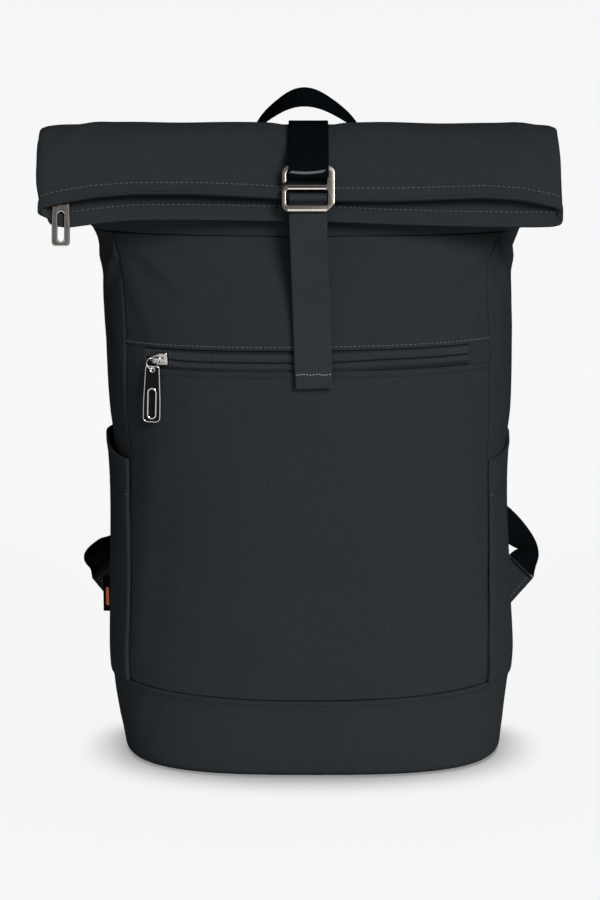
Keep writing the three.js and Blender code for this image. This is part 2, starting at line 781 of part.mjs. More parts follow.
// The black strap: from the back seam over the roll to the hook's top bar, which it holds in a loop
function addTopStrap() {
  const lift = seamGap + blackStrap / 2;
  const line = [];
  const steps = 24;
  const lastOnRoll = 0.65;
  for (let k = 0; k <= steps; k += 1) {
    const s = 0.02 + ((lastOnRoll - 0.02) * k) / steps;
    const ahead = rollSection(s + 0.01);
    const behind = rollSection(s - 0.01);
    const run = ahead.outer.clone().sub(behind.outer).normalize();
    const out = new THREE.Vector2(run.y, -run.x);
    line.push(rollSection(s).outer.addScaledVector(out, lift));
  }
  const bar = onHook(topBarUp, 0);
  const loopHalf = hookThickness / 2 + seamGap + blackStrap / 2;
  const loopReach = hookBar / 2 + seamGap;
  line.push(onHook(topBarUp + loopReach + 2.5, 0));
  line.push(onHook(topBarUp + loopReach, 0));
  line.push(onHook(topBarUp, 0));
  line.push(onHook(topBarUp - loopReach, 0));
  line.push(onHook(topBarUp - loopReach - 3, -0.4));
  const barIndex = line.length - 3;
  const outline = sideOutline(line, (i) => {
    const away = Math.abs(i - barIndex);
    if (away === 0) return 2 * loopHalf;
    if (away === 1) return 2 * loopHalf - 0.2;
    return blackStrap;
  });
  const holeHalf = hookThickness / 2 + seamGap;
  const hole = [
    bar.clone().addScaledVector(hookUp, loopReach).addScaledVector(hookOut, holeHalf),
    bar.clone().addScaledVector(hookUp, loopReach).addScaledVector(hookOut, -holeHalf),
    bar.clone().addScaledVector(hookUp, -loopReach).addScaledVector(hookOut, -holeHalf),
    bar.clone().addScaledVector(hookUp, -loopReach).addScaledVector(hookOut, holeHalf),
  ];
  const strap = strapAcross(outline, strapMiddle);
  const tunnel = strapAcross(hole, strapMiddle, null, 2 * webbingWidth);
  addPiece("top_strap", cut(strap, tunnel), blackFinish);
}

// A pull tab in its own frame: it hangs from its ring hole at the origin, down -Y, facing +Z
function pullShape() {
  const top = 2.6;
  const low = top - pullLength;
  const corner = 2;
  const wTop = pullTopWidth / 2;
  const wLow = pullLowWidth / 2;
  const outline = [
    [-wTop + 1, top],
    [wTop - 1, top],
    [wTop, top - 1],
    [wLow, low + pullLength * 0.35],
    [wLow, low + corner],
    [wLow - corner, low],
    [-wLow + corner, low],
    [-wLow, low + corner],
    [-wLow, low + pullLength * 0.35],
    [-wTop, top - 1],
  ];
  const shape = new THREE.Shape(outline.map(([x, y]) => new THREE.Vector2(x, y)));
  const plate = new THREE.ExtrudeGeometry(shape, { depth: pullThickness, bevelEnabled: false });
  plate.translate(0, 0, -pullThickness / 2);
  const eye = new THREE.CylinderGeometry(1.7, 1.7, 2 * pullThickness, 10);
  eye.rotateX(Math.PI / 2);
  const slot = new THREE.CapsuleGeometry(pullSlotWidth / 2, pullSlotLength - pullSlotWidth, 4, 12);
  slot.scale(1, 1, 3);
  slot.translate(0, low + 3 + pullSlotLength / 2, 0);
  return cut(cut(plate, eye), slot);
}

// A slider in its own frame: its plate lies in XY, facing +Z, with a bridge over it along X
function sliderShape() {
  const l = sliderLength / 2;
  const w = sliderWidth / 2;
  const plate = new THREE.Shape([
    new THREE.Vector2(-l, -w * 0.6),
    new THREE.Vector2(-l * 0.2, -w),
    new THREE.Vector2(l, -w),
    new THREE.Vector2(l, w),
    new THREE.Vector2(-l * 0.2, w),
    new THREE.Vector2(-l, w * 0.6),
  ]);
  const body = new THREE.ExtrudeGeometry(plate, { depth: sliderHeight, bevelEnabled: false });
  const bridge = new THREE.Shape([
    new THREE.Vector2(-l * 0.85, 0),
    new THREE.Vector2(-l * 0.85, 2.4),
    new THREE.Vector2(-l * 0.7, 3.2),
    new THREE.Vector2(l * 0.4, 3.2),
    new THREE.Vector2(l * 0.7, 2),
    new THREE.Vector2(l * 0.7, 0),
    new THREE.Vector2(l * 0.4, 0),
    new THREE.Vector2(l * 0.3, 2.2),
    new THREE.Vector2(-l * 0.5, 2.2),
    new THREE.Vector2(-l * 0.55, 0),
  ]);
  const arch = new THREE.ExtrudeGeometry(bridge, { depth: bridgeDepth, bevelEnabled: false });
  arch.translate(0, 0, -bridgeDepth / 2);
  arch.rotateX(Math.PI / 2);
  arch.translate(0, 0, sliderHeight - 0.2);
  return joined(body, arch);
}

// A frame that stands on the front cloth at x, z: its X runs across, its Y up and its Z out of the cloth
function frameOnFront(x, z, away) {
  const turn = frontTurn(x, z);
  const on = bodyPoint(turn, z, -away);
  const inwards = bodyPoint(turn, z, 1).sub(bodyPoint(turn, z, 0));
  const up = bodyPoint(turn, z + 5, 0).sub(bodyPoint(turn, z - 5, 0)).normalize();
  const out = inwards.negate();
  out.addScaledVector(up, -out.dot(up)).normalize();
  const across = new THREE.Vector3().crossVectors(up, out);
  return new THREE.Matrix4().makeBasis(across, up, out).setPosition(on);
}

function addZipPulls() {
  // The front slider sits on the closed end of the zip. Its pull hangs from a ring through the bridge.
  const sliderZ = zipMiddle(sliderPlace);
  const sliderFrame = frameOnFront(sliderPlace, sliderZ, seamGap - zipRecess);
  const slider = sliderShape();
  slider.applyMatrix4(sliderFrame);
  addPiece("front_zip_slider", slider, metalFinish);
  // The ring passes under the bridge on a slant, seen half from its edge
  const ringCentre = new THREE.Vector3(-sliderLength * 0.24, -ringRadius / 2, sliderHeight + 3.6);
  const ring = new THREE.TorusGeometry(ringRadius, ringWire, 6, 16);
  ring.rotateY(0.95);
  ring.translate(...ringCentre.toArray());
  ring.applyMatrix4(sliderFrame);
  addPiece("front_zip_ring", ring, metalFinish);
  const pull = pullShape();
  pull.rotateX(0.1);
  pull.translate(ringCentre.x, ringCentre.y - ringRadius - 0.7, ringCentre.z);
  pull.applyMatrix4(sliderFrame);
  addPiece("front_zip_pull", pull, metalFinish);
}

// The mouth's pull comes out between the layers at the left end and hangs over the lower one
function addMouthPull() {
  const lip = rollSection(1).outer;
  const pull = pullShape();
  pull.rotateX(Math.PI / 2 - 0.25);
  const place = rollShift - rollHalfWidth + mouthPullInset;
  pull.translate(place, lip.x + cloth + 5.2, lip.y + 5);
  addPiece("mouth_pull", pull, metalFinish);
}

// Stations along a smooth curve through points, with directions interpolated between them
function curveStations(rows, steps) {
  const at = (column, t) => fromTable(rows, column, t);
  const stations = [];
  for (let k = 0; k <= steps; k += 1) {
    const t = k / steps;
    const centre = new THREE.Vector3(at("x", t), at("y", t), at("z", t));
    const ahead = Math.min(1, t + 0.01);
    const back = Math.max(0, t - 0.01);
    const run = new THREE.Vector3(
      at("x", ahead) - at("x", back),
      at("y", ahead) - at("y", back),
      at("z", ahead) - at("z", back),
    ).normalize();
    const across = new THREE.Vector3(at("wx", t), at("wy", t), at("wz", t));
    across.addScaledVector(run, -across.dot(run)).normalize();
    const out = new THREE.Vector3().crossVectors(run, across);
    stations.push({ centre, across, out, width: at("width", t) });
  }
  return stations;
}

// The haul loop leaves the back seam flat against the bag, then turns edge-on and arches over the roll
function addHaulLoop() {
  const root = neckBack + 2 * seamGap + webbing / 2;
  const foot = neckSeamHeight + 4;
  const rise = neckSeamHeight + rollRise + haulRise - foot;
  const half = [
    { across: 1, y: root, up: 0, wx: 1, wy: 0.1, wz: 0 },
    { across: 0.98, y: root + 3.4, up: 0.2, wx: 0.86, wy: 0.5, wz: 0 },
    { across: 0.92, y: root + 4.5, up: 0.45, wx: 0.45, wy: 0.88, wz: 0.05 },
    { across: 0.8, y: root - 2, up: 0.72, wx: 0.12, wy: 0.96, wz: 0.2 },
    { across: 0.52, y: (root + haulLean) / 2 - 6, up: 0.93, wx: 0.02, wy: 0.91, wz: 0.36 },
    { across: 0, y: haulLean, up: 1, wx: 0, wy: 0.883, wz: 0.469 },
  ];
  const row = (entry, side) => ({
    x: side * haulSpread * entry.across - 1.5,
    y: entry.y,
    z: foot + rise * entry.up,
    wx: -side * entry.wx,
    wy: entry.wy,
    wz: entry.wz,
    width: webbingWidth,
  });
  const rows = [...half.map((entry) => row(entry, -1)), ...half.slice(0, -1).reverse().map((entry) => row(entry, 1))];
  addPiece("haul_loop", bandSolid(curveStations(rows, bandSteps), webbing), blackFinish);
}

function addShoulderStraps() {
  const panelBack = neckBack;
  for (const side of [-1, 1]) {
    const name = side < 0 ? "left" : "right";
    const top = neckSeamHeight - 4;
    const drop = top - shoulderEndHeight;
    const clear = panelBack + seamGap + shoulderPadding / 2;
    const spread = shoulderEndPlace - shoulderStart;
    const along = (share, out, down, wx, wz, width) => ({
      x: side * (shoulderStart + spread * share),
      y: clear + out,
      z: top - drop * down,
      wx: side * wx,
      wy: 0,
      wz,
      width,
    });
    const widthAt = (share) => THREE.MathUtils.lerp(shoulderWidthTop, shoulderWidthLow, share);
    const rows = [
      along(0, 0, 0, 1, 0, widthAt(0)),
      along(0, shoulderStandOff * 0.08, 0.07, 1, 0, widthAt(0.05)),
      along(0.02, shoulderStandOff * 0.6, 0.22, 1, 0.02, widthAt(0.2)),
      along(0.1, shoulderStandOff, 0.42, 1, 0.1, widthAt(0.4)),
      along(0.32, shoulderStandOff * 0.93, 0.62, 1, 0.28, widthAt(0.6)),
      along(0.65, shoulderStandOff * 0.6, 0.82, 1, 0.5, widthAt(0.8)),
      along(1, shoulderStandOff * 0.34, 1, 1, 0.62, widthAt(1)),
    ];
    const pad = bandSolid(curveStations(rows, bandSteps), shoulderPadding, padSection);
    addPiece(`shoulder_strap_${name}`, pad, clothFinish);
    addLowerWebbing(side, name, rows[rows.length - 1], rows[rows.length - 2]);
  }
}

// A plastic lock on the pad's end, the webbing that bulges out at the side, and the wing that is sewn to the bag
function addLowerWebbing(side, name, end, before) {
  const endPoint = new THREE.Vector3(end.x, end.y, end.z);
  const run = endPoint.clone().sub(new THREE.Vector3(before.x, before.y, before.z)).normalize();
  const across = new THREE.Vector3(end.wx, end.wy, end.wz);
  across.addScaledVector(run, -across.dot(run)).normalize();
  const out = new THREE.Vector3().crossVectors(run, across);
  const station = (distance, width) => ({
    centre: endPoint.clone().addScaledVector(run, distance),
    across,
    out,
    width,
  });
  const lock = bandSolid([station(seamGap, lockWidth), station(seamGap + lockLength, lockWidth)], lockThickness);
  addPiece(`strap_lock_${name}`, lock, plasticFinish);
  const lockEnd = endPoint.clone().addScaledVector(run, 4 * seamGap + lockLength);
  const seam = bodyPoint(seamTurn(backSeamShare, wingHeight, side, true), wingHeight, 0);
  const onward = lockEnd.clone().addScaledVector(run, webbingLead);
  const at = (centre, wx, wy, wz) => ({
    x: centre.x,
    y: centre.y,
    z: centre.z,
    wx,
    wy,
    wz,
    width: webbingWidth,
  });
  const bulge = (entry) =>
    new THREE.Vector3(
      side * (bagHalfWidth + bulgeReach * entry.outward),
      seam.y + bulgeReach * entry.behind,
      bulgeHeight + bulgeReach * entry.above,
    );
  const rows = [
    at(lockEnd, across.x, across.y, across.z),
    at(onward, across.x, across.y, across.z),
    ...bulgeRows.map((entry) => at(bulge(entry), side * entry.wx, entry.wy, entry.wz)),
  ];
  addPiece(`strap_webbing_${name}`, bandSolid(curveStations(rows, bandSteps), webbing), blackFinish);

  // The wing: a cloth triangle from the back seam out to the webbing's end
  const face = new THREE.Vector3(0, 1, 0);
  const tipRun = new THREE.Vector3(side, 0, 1).normalize();
  const tip = bulge(bulgeRows[bulgeRows.length - 1]);
  tip.y -= wingLean;
  tip.addScaledVector(tipRun, -2 * seamGap - webbing);
  const root = new THREE.Vector3(side * (Math.abs(seam.x) + 3), seam.y + wingLift, wingHeight - wingInset);
  const wing = bandSolid(
    [
      { centre: root, across: new THREE.Vector3(0, 0, 1), out: face, width: wingRootHeight },
      { centre: tip, across: new THREE.Vector3(-side, 0, 1).normalize(), out: face, width: webbingWidth },
    ],
    wingThickness,
  );
  addPiece(`strap_wing_${name}`, wing, clothFinish);
  if (side < 0) {
    const label = new THREE.BoxGeometry(labelWidth, labelThickness, labelLength);
    const x = -(bagHalfWidth + labelPlace);
    const share = (x + labelWidth / 2 - root.x) / (tip.x - root.x);
    const before = THREE.MathUtils.lerp(root.y, tip.y, share) - wingThickness / 2 - labelThickness / 2;
    label.translate(x, before - 2 * seamGap, wingHeight - 2);
    addPiece("side_label", label, labelFinish);
  }
}

addBase();
addFrontPanels();
addFrontZip();
addSides();
addBack();
addRoll();
addHook();
addFrontStrap();
addTopStrap();
addZipPulls();
addMouthPull();
addHaulLoop();
addShoulderStraps();

export default bag;
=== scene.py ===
# %% [markdown]
# # A roll-top daypack, dressed
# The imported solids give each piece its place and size. This script puts the looks around them: cloth panels
# with rolled edges and stitched seams, ribbed zips, woven straps, cast metal and padded straps. All tables
# are in millimetres, because a maker measures cloth so, and each mesh is turned to metres when it is made.

# %% Setting up
import math

import bmesh
import bpy
import numpy as np
from mathutils import Matrix


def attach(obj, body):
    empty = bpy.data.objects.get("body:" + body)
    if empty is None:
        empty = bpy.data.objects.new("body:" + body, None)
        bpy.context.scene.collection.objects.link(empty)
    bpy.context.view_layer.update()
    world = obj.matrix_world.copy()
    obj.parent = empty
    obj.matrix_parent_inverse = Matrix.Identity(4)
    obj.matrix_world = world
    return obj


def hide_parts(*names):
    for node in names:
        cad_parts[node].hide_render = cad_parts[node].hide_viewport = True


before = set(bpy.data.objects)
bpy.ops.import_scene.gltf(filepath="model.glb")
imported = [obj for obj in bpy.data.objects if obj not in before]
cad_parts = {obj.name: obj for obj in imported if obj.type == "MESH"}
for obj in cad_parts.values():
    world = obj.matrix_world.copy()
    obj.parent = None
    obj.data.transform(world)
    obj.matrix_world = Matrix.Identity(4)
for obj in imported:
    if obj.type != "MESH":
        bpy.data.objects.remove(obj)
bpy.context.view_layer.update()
MM = 0.001

# %% [markdown]
# The camera stands where the photographer stood: in front, a little above the bag's top, tilted down by
# eleven degrees, with a long lens, so that the far side of the roll just shows over its near edge.

# %% The camera
IMAGE_LONG_SIDE = 900
FOCAL_PIXELS = 2291.6
SENSOR = 36.0
CAMERA_PLACE = (-0.006, -1.575, 0.520)
CAMERA_TILT = 11.0

camera_data = bpy.data.cameras.new("camera")
camera_data.sensor_width = SENSOR
camera_data.sensor_height = SENSOR
camera_data.sensor_fit = "AUTO"
camera_data.lens = FOCAL_PIXELS * SENSOR / IMAGE_LONG_SIDE
camera_data.clip_end = 100
camera = bpy.data.objects.new("camera", camera_data)
camera.location = CAMERA_PLACE
camera.rotation_euler = (math.radians(90 - CAMERA_TILT), 0, 0)
bpy.context.scene.collection.objects.link(camera)
bpy.context.scene.camera = camera
print("lens", round(camera_data.lens, 2), "mm")

# %% [markdown]
# A bag shot for a shop stands on seamless white paper. The paper is one big plane here, and an even light
# from overhead keeps it white and leaves only a soft shadow where the bag touches it. The key is a wide
# sun, soft as a large softbox, high on the right and in front, so that the strap throws its shadow to the
# left. It lights the bag alone: in a studio a flag would keep it off the paper, and here light linking
# does. A low light from behind shows the padded back when the bag is turned round, and the front hardly
# sees it.

# %% The paper and the lights
PAPER_SIDE = 900.0
PAPER_SEEN = (0.921, 0.921, 0.921)


def link(thing):
    bpy.context.scene.collection.objects.link(thing)
    return thing


half = PAPER_SIDE / 2
paper_mesh = bpy.data.meshes.new("paper")
corners = [(-half, -half, 0), (half, -half, 0), (half, half, 0), (-half, half, 0)]
paper_mesh.from_pydata(corners, [], [(0, 1, 2, 3)])
paper = link(bpy.data.objects.new("paper", paper_mesh))


def link_list(name, state="INCLUDE"):
    """A light-linking collection that has the paper alone in it, or everything but the paper."""
    made = bpy.data.collections.new(name)
    made.objects.link(paper)
    made.collection_objects[0].light_linking.link_state = state
    return made


only_paper = link_list("only_paper")
off_paper = link_list("all_but_paper", "EXCLUDE")
floor_shadow = link_list("floor_shadow")


def sun(name, strength, spread, azimuth, elevation, lights=off_paper, blockers=None):
    """A sun that shines from an azimuth, counted from the front to the right, and an elevation."""
    data = bpy.data.lights.new(name, "SUN")
    data.energy = strength
    data.angle = math.radians(spread)
    lamp = link(bpy.data.objects.new(name, data))
    lamp.rotation_euler = (math.radians(90 - elevation), 0, math.radians(azimuth))
    lamp.light_linking.receiver_collection = lights
    lamp.light_linking.blocker_collection = blockers
    return lamp


sun("key", 3.9, 26, 29, 27)
sun("front_fill", 0.4, 60, -12, 20)
sun("overhead", 0.3, 80, 0, 80)
sun("paper_light", 1.05, 30, 0, 88, only_paper, only_paper)
sun("back_light", 1.7, 40, 180, 8)
sun("paper_contact", 2.64, 46, 180, 71, only_paper, floor_shadow)

# Two black flags, which the camera doesn't see, keep the paper's glow off the bag's sides
FLAG_PLACE, FLAG_FRONT, FLAG_BACK, FLAG_HIGH = 0.42, -0.16, 0.7, 1.4
for side, name in ((-1, "flag_left"), (1, "flag_right")):
    flag_mesh = bpy.data.meshes.new(name)
    x = side * FLAG_PLACE
    flag_mesh.from_pydata([(x, FLAG_FRONT, 0.001), (x, FLAG_BACK, 0.001), (x, FLAG_BACK, FLAG_HIGH),
                           (x, FLAG_FRONT, FLAG_HIGH)], [], [(0, 1, 2, 3)])
    flag = link(bpy.data.objects.new(name, flag_mesh))
    flag.visible_camera = flag.visible_shadow = False

world = bpy.data.worlds.new("studio")
world.use_nodes = True
studio = world.node_tree
sky = studio.nodes["Background"]
sky.inputs["Color"].default_value = (0.95, 0.97, 1.0, 1)
sky.inputs["Strength"].default_value = 0.05
seen = studio.nodes.new("ShaderNodeBackground")
seen.inputs["Color"].default_value = (*PAPER_SEEN, 1)
rays = studio.nodes.new("ShaderNodeLightPath")
choose = studio.nodes.new("ShaderNodeMixShader")
studio.links.new(rays.outputs["Is Camera Ray"], choose.inputs[0])
studio.links.new(sky.outputs[0], choose.inputs[1])
studio.links.new(seen.outputs[0], choose.inputs[2])
studio.links.new(choose.outputs[0], studio.nodes["World Output"].inputs["Surface"])
bpy.context.scene.world = world
bpy.context.scene.view_settings.view_transform = "Standard"
bpy.context.scene.view_settings.look = "None"

# %% [markdown]
# A finish is a small tree of nodes. To read it as a formula, a Wire stands for one output socket, and sums
# and products of wires add Math nodes behind the scenes. A Finish makes any other node from its type, its
# settings and what goes into its sockets.

# %% Materials as formulas
class Wire:
    """One value inside a finish. Arithmetic on it adds Math nodes."""

    def __init__(self, finish, socket):
        self.finish = finish
        self.socket = socket

    def _pair(self, operation, first, second):
        return self.finish.node("Math", {"operation": operation}, first, second)

    def __add__(self, other):
        return self._pair("ADD", self, other)

    def __radd__(self, other):
        return self._pair("ADD", other, self)

    def __sub__(self, other):
        return self._pair("SUBTRACT", self, other)

    def __rsub__(self, other):
        return self._pair("SUBTRACT", other, self)

    def __mul__(self, other):
        return self._pair("MULTIPLY", self, other)

    def __rmul__(self, other):
        return self._pair("MULTIPLY", other, self)

class Finish:
    """A material with a principled shader, built from wires."""

    def __init__(self, name, **constants):
        self.material = bpy.data.materials.new(name)
        self.material.use_nodes = True
        self.tree = self.material.node_tree
        self.shader = self.tree.nodes["Principled BSDF"]
        self.set(**constants)

    def feed(self, socket, value):
        if isinstance(value, Wire):
            self.tree.links.new(value.socket, socket)
        elif hasattr(socket, "default_value"):
            if socket.type == "RGBA" and len(value) == 3:
                value = (*value, 1.0)
            socket.default_value = value

    def set(self, **values):
        for name, value in values.items():
            self.feed(self.shader.inputs[name.replace("_", " ")], value)

    def node(self, kind, settings=None, *places, out=0, **named):
        made = self.tree.nodes.new("ShaderNode" + kind)
        for key, value in (settings or {}).items():
            if key == "stops":
                ramp = made.color_ramp.elements
                while len(ramp) < len(value):
                    ramp.new(0.5)
                for stop, (at, colour) in zip(ramp, value):
                    stop.position = at
                    stop.color = (*colour, 1.0)
            else:
                setattr(made, key, value)
        for k, value in enumerate(places):
            self.feed(made.inputs[k], value)
        for name, value in named.items():
            self.feed(made.inputs[name.replace("_", " ")], value)
        return Wire(self, made.outputs[out])

    def uv(self, across=1.0, along=1.0, turn=0.0):
        """Surface coordinates in metres, stretched and turned."""
        flat = self.node("TexCoord", out=2)
        return self.node("Mapping", None, flat, Scale=(across, along, 1), Rotation=(0, 0, turn))

    def place(self):
        return self.node("TexCoord", out=3)

    def noise(self, where, scale, detail=2.0, roughness=0.5):
        settings = {"noise_dimensions": "3D"}
        return self.node("TexNoise", settings, Vector=where, Scale=scale, Detail=detail, Roughness=roughness)

    def stripes(self, where, scale, direction="X", wobble=0.0):
        settings = {"wave_type": "BANDS", "bands_direction": direction, "wave_profile": "SIN"}
        return self.node("TexWave", settings, Vector=where, Scale=scale, Distortion=wobble, Detail=1.0, out=1)

    def mix(self, factor, first, second):
        settings = {"data_type": "RGBA"}
        made = self.node("Mix", settings, out=2)
        sockets = made.socket.node.inputs
        self.feed(sockets[0], factor)
        self.feed(sockets[6], first)
        self.feed(sockets[7], second)
        return made

    def bump(self, height, depth, strength=1.0, under=None):
        made = self.node("Bump", None, Height=height, Distance=depth, Strength=strength)
        if under is not None:
            self.feed(made.socket.node.inputs["Normal"], under)
        return made


def hue(red, green, blue):
    """A colour as a camera shows it, from 0 to 255, turned to the linear values that shaders use."""
    def linear(c):
        c = c / 255
        return c / 12.92 if c <= 0.04045 else ((c + 0.055) / 1.055) ** 2.4
    return (linear(red), linear(green), linear(blue))


# %% [markdown]
# White paper: matte, with a fibre so faint that only its roughness shows it.

# %% The paper's finish
paper_finish = Finish("paper", Roughness=0.9, Specular_IOR_Level=0.1)
fibre = paper_finish.noise(paper_finish.place(), 900, 3)
paper_finish.set(Base_Color=paper_finish.mix(fibre, (0.80, 0.80, 0.80), (0.815, 0.815, 0.815)))
paper_mesh.materials.append(paper_finish.material)
velvet = Finish("flag_velvet", Roughness=1.0, Specular_IOR_Level=0.0)
nap = velvet.noise(velvet.place(), 300, 2)
velvet.set(Base_Color=velvet.mix(nap, (0.004, 0.004, 0.004), (0.008, 0.008, 0.008)))
for name in ("flag_left", "flag_right"):
    bpy.data.objects[name].data.materials.append(velvet.material)

# %% [markdown]
# The bag's cloth is a matte, tightly woven polyester in slate black. Threads cross at half a millimetre,
# too fine for geometry, so the weave is bump: two sets of stripes whose product gives the little crowns
# where one thread passes over another. Slubs, thicker stretches of thread, are noise pulled long in both
# thread directions. They vary the colour by a few per cent, and that is what keeps a dark cloth from
# looking like plastic.

# %% Cloth finishes
THREAD_PITCH = 0.00062


def woven(name, colour, pitch=THREAD_PITCH, rough=0.82, sheen=0.006, slub=0.16, depth=0.00010, worn=0.06):
    """A plain weave in one colour. The pitch is the distance between threads in metres."""
    made = Finish(name, Roughness=rough, Sheen_Weight=sheen, Sheen_Roughness=0.55, Specular_IOR_Level=0.0)
    made.set(Sheen_Tint=(0.75, 0.85, 1.0))
    # The Wave texture repeats at pi / 10 units, so this scale gives one thread per pitch
    scale = math.pi / 10 / pitch / 2
    warp = made.stripes(made.uv(), scale, "X", 0.35)
    weft = made.stripes(made.uv(), scale, "Y", 0.35)
    crowns = warp * weft + (1 - warp) * (1 - weft)
    slub_warp = made.noise(made.uv(1100, 90), 1.0, 3.0, 0.6)
    slub_weft = made.noise(made.uv(90, 1100), 1.0, 3.0, 0.6)
    slubs = slub_warp * 0.5 + slub_weft * 0.5
    clouds = made.noise(made.uv(), 26.0, 3.0, 0.55)
    light = tuple(min(1.0, c * (1 + slub)) for c in colour)
    dark = tuple(c * (1 - slub) for c in colour)
    spread = made.node("MapRange", None, slubs, 0.34, 0.66, 0.0, 1.0)
    toned = made.mix(spread, dark, light)
    grain = made.mix(crowns * 0.5, toned, tuple(c * 0.62 for c in colour))
    faded = made.mix(clouds * worn * 2, grain, tuple(c * 1.5 for c in colour))
    made.set(Base_Color=faded, Roughness=rough - 0.08 + 0.12 * slubs)
    made.set(Normal=made.bump(crowns * 0.55 + slubs * 0.9, depth))
    return made.material


SLATE = hue(36, 39.5, 42)
cloth_finish = woven("slate_cloth", SLATE)
CLOTH_LOOK = (cloth_finish, "main_cloth")
tape_finish = woven("zip_tape", hue(38, 41.5, 44), pitch=0.0005, rough=0.7, sheen=0.02, depth=0.00008)
print("cloth colour", [round(c, 4) for c in SLATE])

# %% [markdown]
# The body is a soft tube. At every height its outline is an oval made of two half superellipses, a rounder
# one in front and a squarer one behind, where the padded back keeps it flat. A short table says how the
# half width, the depths and the sideways lean change up the body, and a smooth curve runs through its rows.

# %% The body's form
BAG_HALF_WIDTH, FRONT_DEPTH, BACK_DEPTH, WIDEST_PLANE, NECK_HEIGHT = 141.0, 72.0, 60.0, 16.0, 369.0
FRONT_FULLNESS, BACK_FULLNESS = 2.3, 4.5
CLOTH = 2.0
GAP = 0.3
BODY_ROWS = np.array([
    # height, width, front, back, lean
    (0, 0.96, 0.95, 0.97, 0.012), (0.07, 0.982, 0.98, 0.985, 0.012), (0.145, 1.004, 1, 1, 0.014),
    (0.195, 1.01, 1.008, 1, 0.015), (0.31, 0.993, 1.018, 1, 0.011), (0.47, 0.967, 1.022, 1, 0.008),
    (0.585, 0.966, 1.016, 1, 0.009), (0.667, 0.992, 1.008, 1, 0.009), (0.783, 0.997, 0.985, 1, 0.003),
    (0.862, 1.004, 0.93, 1, -0.008), (0.938, 1.01, 0.84, 1, -0.012), (1, 1.06, 0.73, 1, -0.008),
])


def curve_through(keys, values, places):
    """A smooth curve through a column of a table, read at some places."""
    last = len(keys) - 1
    k = np.arange(last + 1)
    a, b = np.maximum(0, k - 1), np.minimum(last, k + 1)
    slope = (values[b] - values[a]) / (keys[b] - keys[a])
    places = np.asarray(places, float)
    i = np.clip(np.searchsorted(keys, places, side="left") - 1, 0, last - 1)
    span = keys[i + 1] - keys[i]
    t = (places - keys[i]) / span
    return (
        (2 * t**3 - 3 * t**2 + 1) * values[i] + (t**3 - 2 * t**2 + t) * span * slope[i]
        + (3 * t**2 - 2 * t**3) * values[i + 1] + (t**3 - t**2) * span * slope[i + 1]
    )


def smooth_step(x, low, high):
    t = np.clip((np.asarray(x, float) - low) / (high - low), 0, 1)
    return t * t * (3 - 2 * t)


def blend(a, b, t):
    return a + (b - a) * t


def bell(x):
    """A smooth bump: 1 at zero, and almost nothing from 2 on."""
    return np.exp(-(x**2))


def to_front(count):
    return np.tile((0.0, -1.0, 0.0), (count, 1))


def to_right(count):
    return np.tile((1.0, 0.0, 0.0), (count, 1))


def unit(vector):
    """A vector, or each row of many, at length one."""
    return np.asarray(vector, float) / np.linalg.norm(vector, axis=-1, keepdims=True)


def oval_point(turn, half_width, depths, fullnesses, inset=0.0):
    """A point of an oval. Depths and fullnesses are pairs, for the half below zero and the half above it."""
    c, s = np.cos(turn), np.sin(turn)
    depth = np.where(s < 0, depths[0], depths[1])
    n = np.where(s < 0, fullnesses[0], fullnesses[1])
    r = 1 / (np.abs(c) ** n + np.abs(s) ** n) ** (1 / n)
    nx = np.sign(c) * np.abs(r * c) ** (n - 1) / half_width
    ny = np.sign(s) * np.abs(r * s) ** (n - 1) / depth
    length = np.hypot(nx, ny)
    return r * c * half_width - nx / length * inset, r * s * depth - ny / length * inset


def body_oval(z):
    share = np.asarray(z, float) / NECK_HEIGHT
    width, front, back, lean = (curve_through(BODY_ROWS[:, 0], BODY_ROWS[:, k], share) for k in range(1, 5))
    return {
        "half_width": BAG_HALF_WIDTH * width,
        "depths": (FRONT_DEPTH * front + WIDEST_PLANE, BACK_DEPTH * back - WIDEST_PLANE),
        "shift": BAG_HALF_WIDTH * lean,
    }


def body_point(turn, z, inset=0.0):
    oval = body_oval(z)
    x, y = oval_point(turn, oval["half_width"], oval["depths"], (FRONT_FULLNESS, BACK_FULLNESS), inset)
    return np.stack(np.broadcast_arrays(oval["shift"] + x, WIDEST_PLANE + y, z), axis=-1).astype(float)


def turn_at_share(share, at_back):
    n = BACK_FULLNESS if at_back else FRONT_FULLNESS
    depth = (1 - np.minimum(np.abs(share), 1.0) ** n) ** (1 / n)
    return np.arctan2(depth if at_back else -depth, share)


def front_turn(x, z):
    oval = body_oval(z)
    return turn_at_share((x - oval["shift"]) / oval["half_width"], False)


print("waist", body_oval(180.0))

# %% [markdown]
# Each cloth panel is one helper's work. It takes a grid of points on the outer face and gives it the
# cloth's thickness, and it rolls the edges in, so that two panels meet in a soft valley as they do at a
# sewn seam. Grid lines lie closer together at the edges and beside stitching, where the cloth bends most.

# %% Cloth from a grid
def grid_lines(length, step, edges=(1.6, 1.6), dense=()):
    """Places from 0 to 1 along a length in mm: even steps, closer at rolled edges and beside dense places."""
    lines = set(np.linspace(0, length, max(2, int(round(length / step)) + 1)))
    for share in (0.0, 0.12, 0.35, 0.65, 1.0):
        lines.add(edges[0] * share)
        lines.add(length - edges[1] * share)
    for place in dense:
        lines.update(place + off for off in (-2.2, -1.3, -0.6, 0.0, 0.6, 1.3, 2.2))
    kept = []
    for line in sorted(line for line in lines if 0 <= line <= length):
        if not kept or line - kept[-1] > 0.12:
            kept.append(line)
    kept[-1] = length
    return np.array(kept) / length


